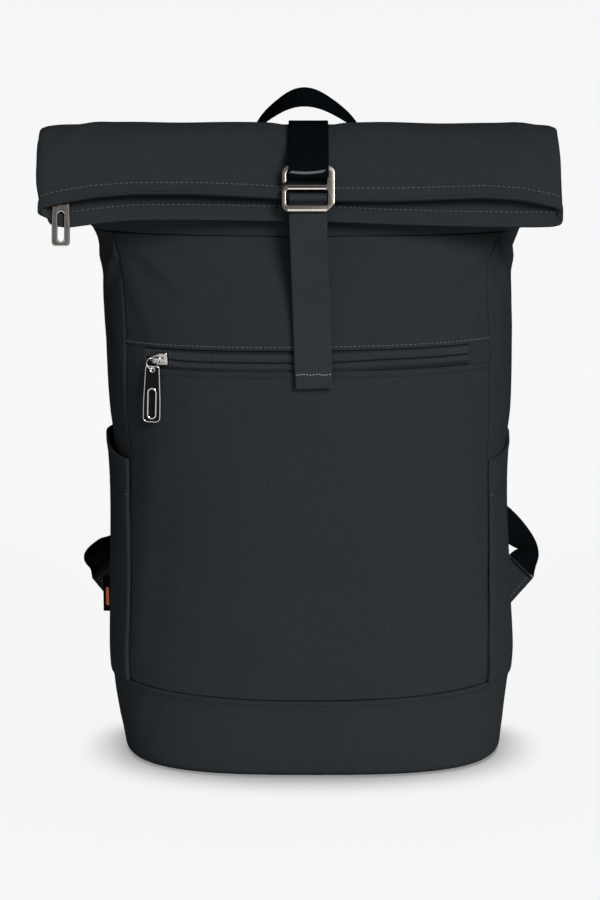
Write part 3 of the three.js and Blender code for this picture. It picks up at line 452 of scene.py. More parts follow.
def grid_normals(points, closed=False):
    if closed:
        along_u = np.roll(points, -1, axis=0) - np.roll(points, 1, axis=0)
    else:
        along_u = np.gradient(points, axis=0)
    normals = np.cross(along_u, np.gradient(points, axis=1))
    return normals / np.maximum(np.linalg.norm(normals, axis=-1, keepdims=True), 1e-9)


def running_length(points, axis):
    steps = np.linalg.norm(np.diff(points, axis=axis), axis=-1)
    zero = np.zeros_like(np.take(steps, [0], axis=axis))
    return np.concatenate([zero, np.cumsum(steps, axis=axis)], axis=axis)


def rolled(distance, radius):
    """How far a rolled edge has dropped at a distance from its rim."""
    if radius <= 0:
        return np.zeros_like(distance)
    inside = np.clip(radius - distance, 0, radius)
    return radius - np.sqrt(np.maximum(radius**2 - inside**2, 0))


def placed(name, mesh, stands_for, crease):
    """Shades a mesh and makes its object, with its body and the nodes that it stands for."""
    mesh.polygons.foreach_set("use_smooth", [True] * len(mesh.polygons))
    mesh.set_sharp_from_angle(angle=math.radians(crease))
    piece = link(bpy.data.objects.new(name, mesh))
    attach(piece, "root")
    if stands_for:
        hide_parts(*stands_for)
    return piece


def add_mesh(name, points, faces, finish, uvs=None, stands_for=(), crease=38):
    """A finished piece: points in mm, faces, uv in mm per point."""
    mesh = bpy.data.meshes.new(name)
    mesh.from_pydata((np.asarray(points) * MM).tolist(), [], faces)
    mesh.materials.append(finish)
    if uvs is not None:
        layer = mesh.uv_layers.new(name="uv")
        corners = np.empty(len(mesh.loops), dtype=np.int32)
        mesh.loops.foreach_get("vertex_index", corners)
        layer.data.foreach_set("uv", (np.asarray(uvs)[corners] * MM).ravel())
    mesh.validate()
    return placed(name, mesh, stands_for, crease)


def cloth_sheet(name, top, finish, slot, thickness=CLOTH, edges=(1.4, 1.4, 1.4, 1.4), closed=False,
                relief=None, stands_for=()):
    """A sheet with the outer face on a grid of points. Edges are rolled radii at u=0, u=1, v=0 and v=1."""
    normals = grid_normals(top, closed)
    u_run, v_run = running_length(top, 0), running_length(top, 1)
    drop = rolled(v_run, edges[2]) + rolled(v_run[:, -1:] - v_run, edges[3])
    if not closed:
        drop = drop + rolled(u_run, edges[0]) + rolled(u_run[-1:] - u_run, edges[1])
    drop = np.minimum(drop, 0.8 * np.max(thickness))
    height = -drop if relief is None else relief - drop
    outer = top + normals * height[..., None]
    inner = top - normals * np.asarray(thickness, float)[..., None]
    nu, nv = top.shape[:2]
    points = np.concatenate([outer.reshape(-1, 3), inner.reshape(-1, 3)])
    flat = np.stack([np.broadcast_to(u_run[:, nv // 2][:, None], (nu, nv)), v_run], axis=-1).reshape(-1, 2)
    half = nu * nv
    index = np.arange(half).reshape(nu, nv)
    rows = list(range(nu)) + ([0] if closed else [])
    faces = []
    for a, b in zip(rows[:-1], rows[1:]):
        for j in range(nv - 1):
            p, q, r, s = index[a, j], index[b, j], index[b, j + 1], index[a, j + 1]
            faces.append((p, q, r, s))
            faces.append((s + half, r + half, q + half, p + half))
        faces.append((index[a, 0] + half, index[b, 0] + half, index[b, 0], index[a, 0]))
        faces.append((index[a, -1], index[b, -1], index[b, -1] + half, index[a, -1] + half))
    if not closed:
        for j in range(nv - 1):
            faces.append((index[0, j], index[0, j + 1], index[0, j + 1] + half, index[0, j] + half))
            faces.append((index[-1, j + 1], index[-1, j], index[-1, j] + half, index[-1, j + 1] + half))
    piece = add_mesh(name, points, [tuple(int(i) for i in f) for f in faces], finish,
                     np.concatenate([flat, flat]), stands_for)
    return piece, outer, normals


# %% [markdown]
# Soft cloth is never a pure surface. Three small formulas, in millimetres, bend it: slow ripples that no
# tape measure finds but every highlight shows, single folds with a ridge and a trough beside it, and the
# groove that a row of stitches pulls into the cloth, with puckers along it.

# %% Ripples, folds and grooves
RIPPLES = [
    # wave number across and up, phase, share
    (0.071, 0.029, 0.4, 1.0), (-0.043, 0.058, 1.9, 0.9), (0.021, 0.091, 4.2, 0.6), (0.108, -0.047, 2.7, 0.4),
]


def ripples(x, z, size, seed=0.0):
    return size * sum(share * np.sin(a * x + b * z + phase + seed * (k + 1))
                      for k, (a, b, phase, share) in enumerate(RIPPLES)) / 2


def folds(x, z, table):
    """Each fold: middle x and z, slant in degrees from level, half length, half width and height in mm."""
    total = np.zeros(np.broadcast(x, z).shape)
    for cx, cz, slant, long, wide, high in table:
        c, s = math.cos(math.radians(slant)), math.sin(math.radians(slant))
        along = (x - cx) * c + (z - cz) * s
        aside = (z - cz) * c - (x - cx) * s
        reach = bell(along / long)
        total += high * reach * (bell(aside / wide) - 0.55 * bell((aside + 1.5 * wide) / wide))
    return total


def groove(distance, run, depth=0.3, half=0.75, pucker=0.10, pitch=7.0):
    """A stitched groove: distance from the line, and place along it for the puckers."""
    waves = np.sin(run * 2 * np.pi / pitch) + 0.6 * np.sin(run * 2 * np.pi / (pitch * 1.7) + 1.1)
    return -depth * bell(distance / half) + pucker * waves * bell(distance / 3.2)


# %% [markdown]
# Stitching is real here: every stitch is a little capsule of thread half sunk in the cloth. One mesh holds
# a whole row. Over the zip, on the roll and on the straps the thread is a shade lighter than the cloth.
# Below the zip, at its ends, on the base and along most of the pockets the same thread is drawn darker, as
# painted shade where those rows lie in shade. A thicker grey cord is kept for the bars that hold the straps.

# %% Rows of stitches
def twisted(name, dark, light, scale=1400, depth=0.00006, direction="DIAGONAL", **constants):
    """Thread: fine stripes in two tones, where its plies turn round each other."""
    made = Finish(name, **constants)
    ply = made.stripes(made.place(), scale, direction)
    made.set(Base_Color=made.mix(ply, dark, light), Normal=made.bump(ply, depth))
    return made.material


pale_thread = twisted("thread", hue(44, 47, 50), hue(70, 74, 77), Roughness=0.6, Sheen_Weight=0.2,
                      Specular_IOR_Level=0.4)
# Painted shade: the same thread drawn darker, for rows of stitches that lie in shade
shaded_thread = twisted("shaded_thread", hue(6, 8, 9), hue(22, 25, 27), Roughness=0.7, Specular_IOR_Level=0.2)
tack_cord = twisted("tack_cord", hue(66, 70, 72), hue(138, 142, 144), 1200, 0.00005, Roughness=0.5,
                    Specular_IOR_Level=0.35)
STITCH_RINGS = ((-0.34, 0.82), (0.0, 1.0), (0.34, 0.82))
STITCH_SIDES = 6


def along_path(path, places):
    run = np.concatenate([[0], np.cumsum(np.linalg.norm(np.diff(path, axis=0), axis=1))])
    return np.stack([np.interp(places, run, path[:, k]) for k in range(path.shape[1])], axis=-1)


def path_length(path):
    return float(np.linalg.norm(np.diff(path, axis=0), axis=1).sum())


def spaced(path, normals, pitch, look):
    """Evenly spaced places on a path, with the directions ahead, aside and up at each."""
    total = path_length(path)
    count = max(1, int(total / pitch))
    middles = (np.arange(count) + 0.5) * total / count
    before, after = np.maximum(middles - look, 0), np.minimum(middles + look, total)
    ahead = unit(along_path(path, after) - along_path(path, before))
    up = along_path(np.concatenate([path, normals], axis=1), middles)[:, 3:]
    return along_path(path, middles), ahead, unit(np.cross(up, ahead)), up


def stitch_row(name, path, normals, pitch=3.1, long=2.3, wide=0.62, high=0.5, sink=0.06,
               finish=None):
    centre, ahead, aside, up = spaced(path, normals, pitch, 0.6)
    up = np.cross(ahead, aside)
    angles = np.arange(STITCH_SIDES) * 2 * np.pi / STITCH_SIDES
    template = [(-0.5, 0.0, -0.3)]
    for place, size in STITCH_RINGS:
        bow = -0.25 * (2 * place) ** 2
        template += [(place, size * math.cos(a) / 2, size * math.sin(a) / 2 + bow) for a in angles]
    template.append((0.5, 0.0, -0.3))
    template = np.array(template)
    faces = []
    last = 1 + STITCH_SIDES * len(STITCH_RINGS)
    for k in range(STITCH_SIDES):
        nxt = (k + 1) % STITCH_SIDES
        faces.append((0, 1 + nxt, 1 + k))
        for ring in range(len(STITCH_RINGS) - 1):
            a = 1 + ring * STITCH_SIDES
            faces.append((a + k, a + nxt, a + STITCH_SIDES + nxt, a + STITCH_SIDES + k))
        b = 1 + (len(STITCH_RINGS) - 1) * STITCH_SIDES
        faces.append((last, b + k, b + nxt))
    middle = centre + up * sink
    points = (middle[:, None, :] + ahead[:, None, :] * (template[:, 0] * long)[None, :, None]
              + aside[:, None, :] * (template[:, 1] * wide)[None, :, None]
              + up[:, None, :] * (template[:, 2] * high)[None, :, None]).reshape(-1, 3)
    all_faces = [tuple(i + k * len(template) for i in face) for k in range(len(centre)) for face in faces]
    return add_mesh(name, points, all_faces, finish or pale_thread, crease=80)


def surface_line(outer, normals, values, target):
    """The line on a grid where values (which grow along v) reach a target that may change along u."""
    target = np.broadcast_to(target, values.shape[:1])
    j = np.array([np.clip(np.searchsorted(values[i], target[i]) - 1, 0, values.shape[1] - 2)
                  for i in range(len(target))])
    i = np.arange(len(target))
    t = ((target - values[i, j]) / (values[i, j + 1] - values[i, j]))[:, None]
    line = outer[i, j] * (1 - t) + outer[i, j + 1] * t
    facing = normals[i, j] * (1 - t) + normals[i, j + 1] * t
    return line, facing

# %% [markdown]
# The front is one wide panel, cut across by the pocket's zip. Its long seams run down both sides and waver
# by a few millimetres, most of all half way up.

# %% Seams of the body
FRONT_SEAM, BACK_SEAM = 0.877, 0.837
BASE_SEAM = 53.5
ZIP_TOP, ZIP_RISE, ZIP_WINDOW = 294.3, 0.0105, 13.6
ZIP_LEFT, ZIP_RIGHT = -110.7, 108.0
BASE_STITCH_DROP, ZIP_STITCH_UP, ZIP_STITCH_LOW = 3.4, 2.6, 4.6
SEAM_WAVER = np.array([
    # height, left seam and right seam in mm
    (50, -2.5, -1.5), (81, -2.8, -1.9), (100, -2.2, -0.4), (125, -2.2, 0.8), (150, -3.4, 2.3), (178, -4.7, 3.0),
    (206, -4.5, 2.2), (234, -4.1, 1.0), (261, -3.3, 0), (289, -1.6, 0.1), (317, 0, -0.8), (345, -1.2, -1.4),
    (369, -1.6, -0.2),
])


def waver(z, column):
    return curve_through(SEAM_WAVER[:, 0], SEAM_WAVER[:, column], np.clip(z, SEAM_WAVER[0, 0], SEAM_WAVER[-1, 0]))


def seam_turn(side, z, at_back):
    if at_back:
        return turn_at_share(side * BACK_SEAM, True)
    share = side * FRONT_SEAM + waver(z, 1 if side < 0 else 2) / body_oval(z)["half_width"]
    return turn_at_share(share, False)


def zip_top(x):
    return ZIP_TOP + ZIP_RISE * x


def base_seam(x):
    """The base's seam dips in the middle of the front and rises to the corners."""
    return BASE_SEAM - 0.7 + 2.6 * np.clip(np.abs(x) / 124, 0, 1.15) ** 2.2


def base_edge(x):
    return base_seam(x) + GAP / 2


def neck_edge(x):
    return NECK_HEIGHT - GAP / 2


def panel_grid(turn_from, turn_to, z_from, z_to, u_lines, v_lines, inset=0.0):
    """A grid on the body between two turns and two heights. A few passes settle a height that depends on x."""
    u, v = u_lines[:, None], v_lines[None, :]
    z = z_from(0.0) + (z_to(0.0) - z_from(0.0)) * v + 0 * u
    for _ in range(4):
        turn = turn_from(z) * (1 - u) + turn_to(z) * u
        x = body_point(turn, z)[..., 0]
        z = z_from(x) * (1 - v) + z_to(x) * v
    return body_point(turn, z, inset)


def seam_gap(turn, z, halves):
    """A turn moved by a number of half gaps, measured along the cloth."""
    reach = np.linalg.norm(body_point(turn, z) - body_point(turn + 0.001, z), axis=-1) / 0.001
    return turn + halves * GAP / 2 / reach


def left_seam(z):
    return seam_gap(seam_turn(-1, z, False), z, 1)


def right_seam(z):
    return seam_gap(seam_turn(1, z, False), z, -1)


print("front seam at mid height", body_point(left_seam(200.0), 200.0))

# %% [markdown]
# The lower front panel carries the photograph's calm, slightly bellied surface. Its top edge is turned
# under and stitched beside the zip. The folds are few: faint slants under the zip's ends and above the
# base.

# %% The lower front panel
FRONT_STEP = 3.2
LOW_FOLDS = [
    # x, z, slant, half length, half width, height
    (-92, 236, 62, 60, 16, 0.9), (88, 248, -58, 55, 15, 0.8), (-30, 92, -12, 80, 18, 0.6),
    (64, 84, 14, 70, 16, 0.6),
    (10, 188, 4, 130, 40, 0.9), (-112, 150, 84, 90, 7, 0.7), (112, 160, -86, 95, 7, 0.7), (40, 262, 3, 90, 9, 0.35),
]


u_front = grid_lines(262, FRONT_STEP, (1.8, 1.8), (6.0, 256.0))
v_low = grid_lines(226, FRONT_STEP, (1.4, 1.6), (226 - ZIP_STITCH_LOW, 3.4))
low_grid = panel_grid(left_seam, right_seam, base_edge, lambda x: zip_top(x) - ZIP_WINDOW - GAP / 2, u_front, v_low)
low_x, low_z = low_grid[..., 0], low_grid[..., 2]
from_zip = zip_top(low_x) - ZIP_WINDOW - low_z
side_pull = running_length(low_grid, 0)
to_side = np.minimum(side_pull, side_pull[-1:] - side_pull)
low_relief = (ripples(low_x, low_z, 0.5) + folds(low_x, low_z, LOW_FOLDS)
              + groove(from_zip - ZIP_STITCH_LOW, low_x) + 0.25 * bell((from_zip - 1.6) / 2.0)
              + 0.16 * np.sin(low_z * 0.52 + 1.3 * np.sin(low_z * 0.11)) * bell(to_side / 7.0)) * (
    1 - bell(from_zip / 0.8) * 0.5)
front_low, low_outer, low_normals = cloth_sheet(
    "cloth_front_lower", low_grid, *CLOTH_LOOK, edges=(1.8, 1.8, 1.3, 1.0), relief=low_relief,
    stands_for=["front_lower_panel"])
line, facing = surface_line(low_outer, low_normals, low_z - zip_top(low_x), -ZIP_WINDOW - ZIP_STITCH_LOW)
# Painted shade: this row under the zip is drawn in the darker thread
stitch_row("stitches_zip_lower", line[2:-2], facing[2:-2], finish=shaded_thread)
print("front_low", len(front_low.data.vertices))

# %% [markdown]
# The upper front panel hangs from the neck seam to the zip. Its lower edge is a welt: the cloth is folded
# over the zip's tape and stitched close to the fold. The roll presses soft slanting folds into both top
# corners.

# %% The upper front panel
HIGH_FOLDS = [
    (-100, 346, -38, 26, 6, 1.3), (98, 340, 42, 30, 6, 1.5), (70, 352, 24, 34, 7, 0.9), (-64, 353, -20, 30, 7, 0.7),
    (112, 318, 66, 26, 5, 0.8), (-114, 322, -70, 26, 5, 0.7), (-40, 318, 8, 60, 12, 0.4),
    (46, 322, -10, 60, 12, 0.5),
]
v_high = grid_lines(76, FRONT_STEP * 0.8, (1.2, 1.6), (ZIP_STITCH_UP,))
high_grid = panel_grid(left_seam, right_seam, lambda x: zip_top(x) + GAP / 2, neck_edge, u_front, v_high)
high_x, high_z = high_grid[..., 0], high_grid[..., 2]
over_zip = high_z - zip_top(high_x)
side_run = running_length(high_grid, 0)
near_side = np.minimum(side_run, side_run[-1:] - side_run)
high_relief = (ripples(high_x, high_z, 0.5) + folds(high_x, high_z, HIGH_FOLDS)
               + groove(over_zip - ZIP_STITCH_UP, high_x) + 0.35 * bell((over_zip - 1.6) / 1.8)
               + 0.2 * np.sin(high_z * 0.6) * bell(near_side / 7.0))
_, high_outer, high_normals = cloth_sheet(
    "cloth_front_upper", high_grid, *CLOTH_LOOK, edges=(1.8, 1.8, 1.0, 1.0), relief=high_relief,
    stands_for=["front_upper_panel"])
line, facing = surface_line(high_outer, high_normals, over_zip, ZIP_STITCH_UP)
stitch_row("stitches_zip_upper", line[2:-2], facing[2:-2])

# %% [markdown]
# Side panels run from the front seams round to the back seams, where the bag is deepest. A gusset crease
# slants down from each upper corner, where the neck spreads wider than the body.

# %% The side panels
def side_turn_pair(side):
    def counted(turn):
        return np.where((side < 0) & (turn < 0), turn + 2 * np.pi, turn)

    def front(z):
        return counted(seam_gap(seam_turn(side, z, False), z, side))

    def back(z):
        return counted(seam_gap(seam_turn(side, z, True), z, -side))

    return front, back


SIDE_FOLDS = [
    # y, z, slant, half length, half width, height
    (-14, 342, -58, 30, 3.6, 2.4), (18, 300, 82, 60, 10, 1.0), (2, 352, -30, 22, 4, 1.1), (30, 268, 70, 40, 6, 0.8),
    (8, 200, 88, 90, 14, 1.2), (-20, 300, 76, 34, 5, 0.7),
]
ROLL_DENT = {"left": 2.0, "right": 4.4}
DENT_HEIGHT, DENT_HALF, DENT_FROM_SEAM = 362, 8.5, 8
for side, name in ((-1, "left"), (1, "right")):
    front, back = side_turn_pair(side)
    u_side = grid_lines(100, FRONT_STEP, (1.8, 1.8))
    v_side = grid_lines(316, FRONT_STEP * 1.2, (1.3, 1.6))
    grid = panel_grid(front, back, base_edge, neck_edge, u_side, v_side)
    y, z = grid[..., 1], grid[..., 2]
    run = running_length(grid, 0)
    near = np.minimum(run, run[-1:] - run)
    relief = (folds(y, z, SIDE_FOLDS) + ripples(y, z, 0.6, 2.0 + side)
              + 0.2 * np.sin(z * 0.55 + side) * bell(near / 7.0))
    # The cloth is drawn in under the roll's ends, most of all on the right
    relief = relief - ROLL_DENT[name] * bell((z - DENT_HEIGHT) / DENT_HALF) * (
        1 - bell(near / DENT_FROM_SEAM))
    # Grids run the way that the turn grows. On the right the turn grows from front to back, on the left it falls.
    if side < 0:
        grid, relief = grid[::-1], relief[::-1]
    panel, _, _ = cloth_sheet(f"cloth_side_{name}", grid, *CLOTH_LOOK, edges=(1.8, 1.8, 1.3, 1.0),
                              relief=relief, stands_for=[f"side_panel_{name}"])
    print("side", name, len(panel.data.vertices))

# %% [markdown]
# The base is a boot of the same cloth. It has a flat floor, a small round edge, and a top edge that is
# turned under and stitched over the body, a few millimetres down. One grid of rings makes it: the first
# rings spread over the floor, the next turn up round the edge, and the rest rise to the seam.

# %% The base boot
EDGE_RADIUS = 5.0
BASE_LIP = 0.7
FLOOR_FULLNESS, FLOOR_REACH, FLOOR_PUSH, FLOOR_DRAW, FLOOR_SHIFT = 2.95, 46.0, 0.08, 0.014, 1.5


def base_point(turns, z, inset=0.0):
    """The body's surface, with fuller front corners towards the floor, where the load presses the cloth out."""
    oval = body_oval(z)
    loaded = 1 - smooth_step(z, 0, FLOOR_REACH)
    fuller = blend(FRONT_FULLNESS, FLOOR_FULLNESS, loaded)
    depths = (oval["depths"][0] * (1 + FLOOR_PUSH * loaded), oval["depths"][1])
    half_width = oval["half_width"] * (1 - FLOOR_DRAW * loaded)
    x, y = oval_point(turns, half_width, depths, (fuller, BACK_FULLNESS), inset)
    return np.stack([oval["shift"] + FLOOR_SHIFT * loaded + x, WIDEST_PLANE + y, z + 0 * x], axis=-1)


def base_ring(turns, z, inset, spread=1.0):
    ring = base_point(turns, np.full_like(turns, z), inset)
    middle = np.array([2.0, 0.0, z])
    return middle + (ring - middle) * spread


turns = np.linspace(0, 2 * np.pi, 260, endpoint=False)
rings = [base_ring(turns, 0.0, EDGE_RADIUS, spread) for spread in (0.02, 0.25, 0.5, 0.72, 0.88, 0.96)]
for turn in np.linspace(0, np.pi / 2, 9):
    rings.append(base_ring(turns, EDGE_RADIUS * (1 - math.cos(turn)), EDGE_RADIUS * (1 - math.sin(turn))))
rise = grid_lines(BASE_SEAM - EDGE_RADIUS, 3.0, (0, 1.6), (BASE_SEAM - EDGE_RADIUS - BASE_STITCH_DROP,))[1:]
seam_x = body_point(turns, np.full_like(turns, BASE_SEAM))[:, 0]
seam_z = base_seam(seam_x) - GAP / 2
for share in rise:
    z = EDGE_RADIUS + (seam_z - EDGE_RADIUS) * share
    rings.append(base_point(turns, z))
base_grid = np.stack(rings, axis=1)
base_z = base_grid[..., 2]
under_seam = seam_z[:, None] - base_z
lip = BASE_LIP / (1 + np.exp((under_seam - BASE_STITCH_DROP - 1.4) / 0.5))
BASE_FOLDS = [(-60, 34, 8, 60, 7, 0.7), (58, 30, -8, 60, 7, 0.6), (0, 24, 0, 90, 9, 0.5),
              (-120, 30, 70, 30, 5, 0.6),
              (122, 28, -70, 30, 5, 0.6)]
calm = np.clip(base_z / 14, 0, 1)
base_relief = calm * (folds(base_grid[..., 0], base_z, BASE_FOLDS) * (base_grid[..., 1] < WIDEST_PLANE)
                      + ripples(base_grid[..., 0] + base_grid[..., 1], base_z, 0.4, 3.0)) + lip + groove(
    under_seam - BASE_STITCH_DROP, turns[:, None] * 130, depth=0.35)
base_piece, base_outer, base_normals = cloth_sheet(
    "cloth_base", base_grid, *CLOTH_LOOK, edges=(0, 0, 0, 1.1), closed=True, relief=base_relief,
    stands_for=["base"])
floor_shadow.objects.link(base_piece)
first_wall_ring = 16
line, facing = surface_line(base_outer[:, first_wall_ring:], base_normals[:, first_wall_ring:],
                            -under_seam[:, first_wall_ring:], -BASE_STITCH_DROP)
# Painted shade: the base's row is drawn in the darker thread
stitch_row("stitches_base", np.concatenate([line, line[:1]]), np.concatenate([facing, facing[:1]]),
           finish=shaded_thread)
print("base", len(base_piece.data.vertices))

# %% [markdown]
# The back is a padded panel: foam behind a cloth face, quilted in two long channels, with a hollow up the
# spine for air. It is thicker than the rest and squarer, and it holds the bag upright.

# %% The padded back
BACK_THICK = 7.0
back_u = grid_lines(240, FRONT_STEP, (2.5, 2.5))
back_v = grid_lines(316, FRONT_STEP * 1.2, (2.0, 2.0))


def back_edge(side):
    return lambda z: seam_gap(seam_turn(side, z, True), z, side)


back_grid = panel_grid(back_edge(1), back_edge(-1), base_edge, neck_edge, back_u, back_v)
back_x, back_z = back_grid[..., 0], back_grid[..., 2]
SPINE_HALF, PAD_SWELL = 22.0, 3.2
QUILT_ROWS = (120.0, 205.0, 290.0)
beside_spine = np.abs(back_x - 1) - SPINE_HALF
pad_high = (1 - bell(np.maximum(beside_spine, 0) / 9)) * (
    1 - bell(np.maximum(112 - np.abs(back_x - 1), 0) / 9))
for row in QUILT_ROWS:
    pad_high = pad_high * (1 - 0.75 * bell((back_z - row) / 4.2))
pad_high *= (1 - bell(np.maximum(back_z - 66, 0) / 9)) * (1 - bell(np.maximum(356 - back_z, 0) / 9))
back_relief = PAD_SWELL * pad_high - 1.6 * np.exp(-((back_x - 1) / SPINE_HALF) ** 4) + ripples(
    back_x, back_z, 0.3, 5.0) - 0.6
back_piece, _, _ = cloth_sheet(
    "padded_back", back_grid, *CLOTH_LOOK, thickness=BACK_THICK, edges=(2.2, 2.2, 1.6, 1.6),
    relief=back_relief, stands_for=["back_panel"])
print("back", len(back_piece.data.vertices))

# %% [markdown]
# The pocket's zip is a reversed coil: the coil is at the back, and the face shows two flat tapes with fine
# ribs where the thread holds the coil, and a dark line between them. It lies in a window between the two
# front panels. Every rib is a real half round of thread laid crosswise, because ribs are what the eye reads
# as a zip. Small tabs of body cloth close the window at both ends.

# %% The zip in the front
ZIP_RECESS, TAPE_THICK, RIB_PITCH, ZIP_SAG = 1.1, 1.3, 1.05, 1.2
# Painted highlight: a lighter copy of the tape cloth, for the light that the raised ribs catch
lit_rib_finish = woven("zip_ribs", hue(51, 55, 58), pitch=0.0005, rough=0.6, sheen=0.02, depth=0.00004)
# Painted shade: a darker copy of the tape cloth, for the shade in the zip's recessed window
shaded_tape_finish = woven("zip_tape_shaded", hue(31, 34, 36), pitch=0.0005, rough=0.7, sheen=0.0, depth=0.00004)


def ribs(name, path, normals, long, pitch=RIB_PITCH, wide=0.72, high=0.7, finish=None, slant=0.0):
    """A row of ribs across a path."""
    centre, ahead, aside, up = spaced(path, normals, pitch, 1)
    lean = aside + ahead * slant
    rings, sides = (-0.5, -0.3, 0.3, 0.5), 5
    points, faces = [], []
    for k in range(len(centre)):
        base = len(points)
        for place in rings:
            size = 0.35 if abs(place) > 0.4 else 1.0
            for a in range(sides):
                angle = math.pi * a / (sides - 1)
                points.append(centre[k] + lean[k] * place * long + ahead[k] * wide / 2 * size * math.cos(angle)
                              + up[k] * high * (size * math.sin(angle) - 0.15))
        for r in range(len(rings) - 1):
            for a in range(sides):
                b = (a + 1) % sides
                p = base + r * sides
                faces.append((p + a, p + b, p + sides + b, p + sides + a))
        faces.append(tuple(base + a for a in range(sides))[::-1])
        faces.append(tuple(base + (len(rings) - 1) * sides + a for a in range(sides)))
    return add_mesh(name, np.array(points), faces, finish or tape_finish, crease=60)


def zip_turn(x):
    return lambda z: front_turn(x, z)


zip_u = grid_lines(219, 3.2, (0.5, 0.5))
tape_v = grid_lines(6.6, 0.8, (0.4, 0.4))


def zip_middle(x):
    """The line between the tapes. It sags on both sides of the strap."""
    return zip_top(x) - ZIP_WINDOW / 2 - ZIP_SAG * smooth_step(x, -104, -84) * (1 - smooth_step(x, 10, 55))


for name, low, high in (("upper", lambda x: zip_middle(x) + 0.12, lambda x: zip_top(x) + 1.4),
                        ("lower", lambda x: zip_top(x) - ZIP_WINDOW - 1.4, lambda x: zip_middle(x) - 0.12)):
    grid = panel_grid(zip_turn(ZIP_LEFT), zip_turn(ZIP_RIGHT), low, high, zip_u, tape_v, ZIP_RECESS)
    from_middle = np.abs(grid[..., 2] - zip_middle(grid[..., 0]))
    place, long = (3.3, 5.4) if name == "upper" else (2.4, 3.6)
    relief = (0.4 * np.exp(-((from_middle - place) / (long / 2)) ** 4)
              - 1.5 * np.clip((from_middle - 6.0) / 1.4, 0, 1))
    _, tape_outer, tape_normals = cloth_sheet(
        f"zip_tape_{name}", grid, shaded_tape_finish, "zip_tape", thickness=TAPE_THICK + 0.4, edges=(0.2, 0.2, 0.5, 0.5),
        relief=relief, stands_for=[f"front_zip_{name}"])
    side = 1 if name == "upper" else -1
    away = (grid[..., 2] - zip_middle(grid[..., 0])) * side
    order = slice(None) if side > 0 else slice(None, None, -1)
    line, facing = surface_line(tape_outer[:, order], tape_normals[:, order], away[:, order], place)
    ribs(f"zip_ribs_{name}", line, facing, long, wide=0.62, high=0.36, finish=lit_rib_finish)

tab_v = grid_lines(13, 1.4, (0.8, 0.8))
for name, start, end in (("left", left_seam, zip_turn(ZIP_LEFT)), ("right", zip_turn(ZIP_RIGHT), right_seam)):
    tab_u = grid_lines(14, 1.6, (1.2, 1.2))
    grid = panel_grid(start, end, lambda x: zip_top(x) - ZIP_WINDOW - 0.6, lambda x: zip_top(x) + 0.6, tab_u, tab_v)
    run = running_length(grid, 0)
    inner = run[-1:] - run if name == "left" else run
    _, tab_outer, tab_normals = cloth_sheet(
        f"zip_tab_cloth_{name}", grid, *CLOTH_LOOK, thickness=CLOTH,
        edges=(1.0, 1.0, 0.8, 0.8), relief=groove(inner - 2.4, grid[..., 2], 0.2) - 0.25,
        stands_for=[f"zip_tab_{name}"])
    column = int(np.argmin(np.abs(inner[:, 3] - 2.4)))
    # Painted shade: the tab's row is drawn in the darker thread
    stitch_row(f"stitches_tab_{name}", tab_outer[column, 2:-2], tab_normals[column, 2:-2], finish=shaded_thread)

# %% [markdown]
# A side pocket is a wall of cloth sewn in at both seams and at the base. Its rim climbs from the front seam
# to the back and stands off the bag, a little more on the left. Behind the rim is a wide hem, and its
# stitches show as a short line where the pocket turns round to the front.

# %% The side pockets
POCKET_WALL, POCKET_FRONT, POCKET_RISE, POCKET_STAND_OFF, HEM_DROP = 1.5, 213.0, 12.2, 5.4, 25.0
POCKET_FOLDS = [(-6, 120, 84, 60, 8, 1.1), (22, 160, 88, 50, 8, 0.9), (-20, 196, 60, 22, 4, 0.6),
                (36, 90, 80, 40, 9, 0.8)]
for side, name, gape in ((-1, "left", 1.0), (1, "right", 0.3)):
    front, back = side_turn_pair(side)
    u = grid_lines(100, 2.6, (1.4, 1.4))[:, None]
    v = grid_lines(165, 3.6, (1.2, 1.4), (165 - HEM_DROP,))[None, :]
    climb = np.clip(u / 0.58, 0, 1)
    rim = POCKET_FRONT + POCKET_RISE * (climb**2 * (3 - 2 * climb) * 0.88 + 0.12 * u)
    low = BASE_SEAM + 1.6
    z = low + (rim - low) * v
    turn = seam_gap(front(z), z, side * 0.5) * (1 - u) + seam_gap(back(z), z, -side * 0.5) * u
    stand = 2 * GAP + POCKET_WALL + gape * POCKET_STAND_OFF * np.sin(np.pi * u) ** 0.7 * v**1.5
    grid = body_point(turn, z, 0.0)
    normals = (body_point(turn, z, -1.0) - grid)
    grid = grid + normals * stand[..., None]
    below_rim = (rim - z)
    y = grid[..., 1]
    run = running_length(grid, 0)
    relief = (folds(y, z, POCKET_FOLDS) * np.clip(np.minimum(run, run[-1:] - run) / 12, 0, 1)
              + 0.35 * bell((below_rim - 1.8) / 2.2) + groove(below_rim - HEM_DROP, run, 0.35)
              + 0.3 * bell((run - 2.8) / 1.8))
    if side < 0:
        grid, relief, below_rim = grid[::-1], relief[::-1], below_rim[::-1]
    _, pocket_outer, pocket_normals = cloth_sheet(
        f"pocket_{name}", grid, *CLOTH_LOOK, thickness=POCKET_WALL,
        edges=(1.4, 1.4, 1.0, 0.75), relief=relief, stands_for=[f"side_pocket_{name}"])
    line, facing = surface_line(pocket_outer, pocket_normals, -below_rim, -HEM_DROP)
    # Only the first few stitches by the front seam catch the light. The rest are drawn in the darker thread, as
    # painted shade
    bright = slice(2, 6) if side > 0 else slice(-6, -2)
    dim = slice(6, -2) if side > 0 else slice(2, -6)
    stitch_row(f"stitches_pocket_{name}", line[bright], facing[bright])
    stitch_row(f"stitches_pocket_{name}_far", line[dim], facing[dim], finish=shaded_thread)
print("pockets done")

# %% [markdown]
# The top is one tube of cloth. From the neck seam it flattens and widens, rolls forward over the front, and
# ends in the open mouth, whose two lips hang one below the other. To model it as it is sewn, an oval
# section is carried along two guide lines seen from the side: the outer layer, which is the back cloth, and
# the inner layer, which is the front cloth. A table says how far forward and how high each has come.

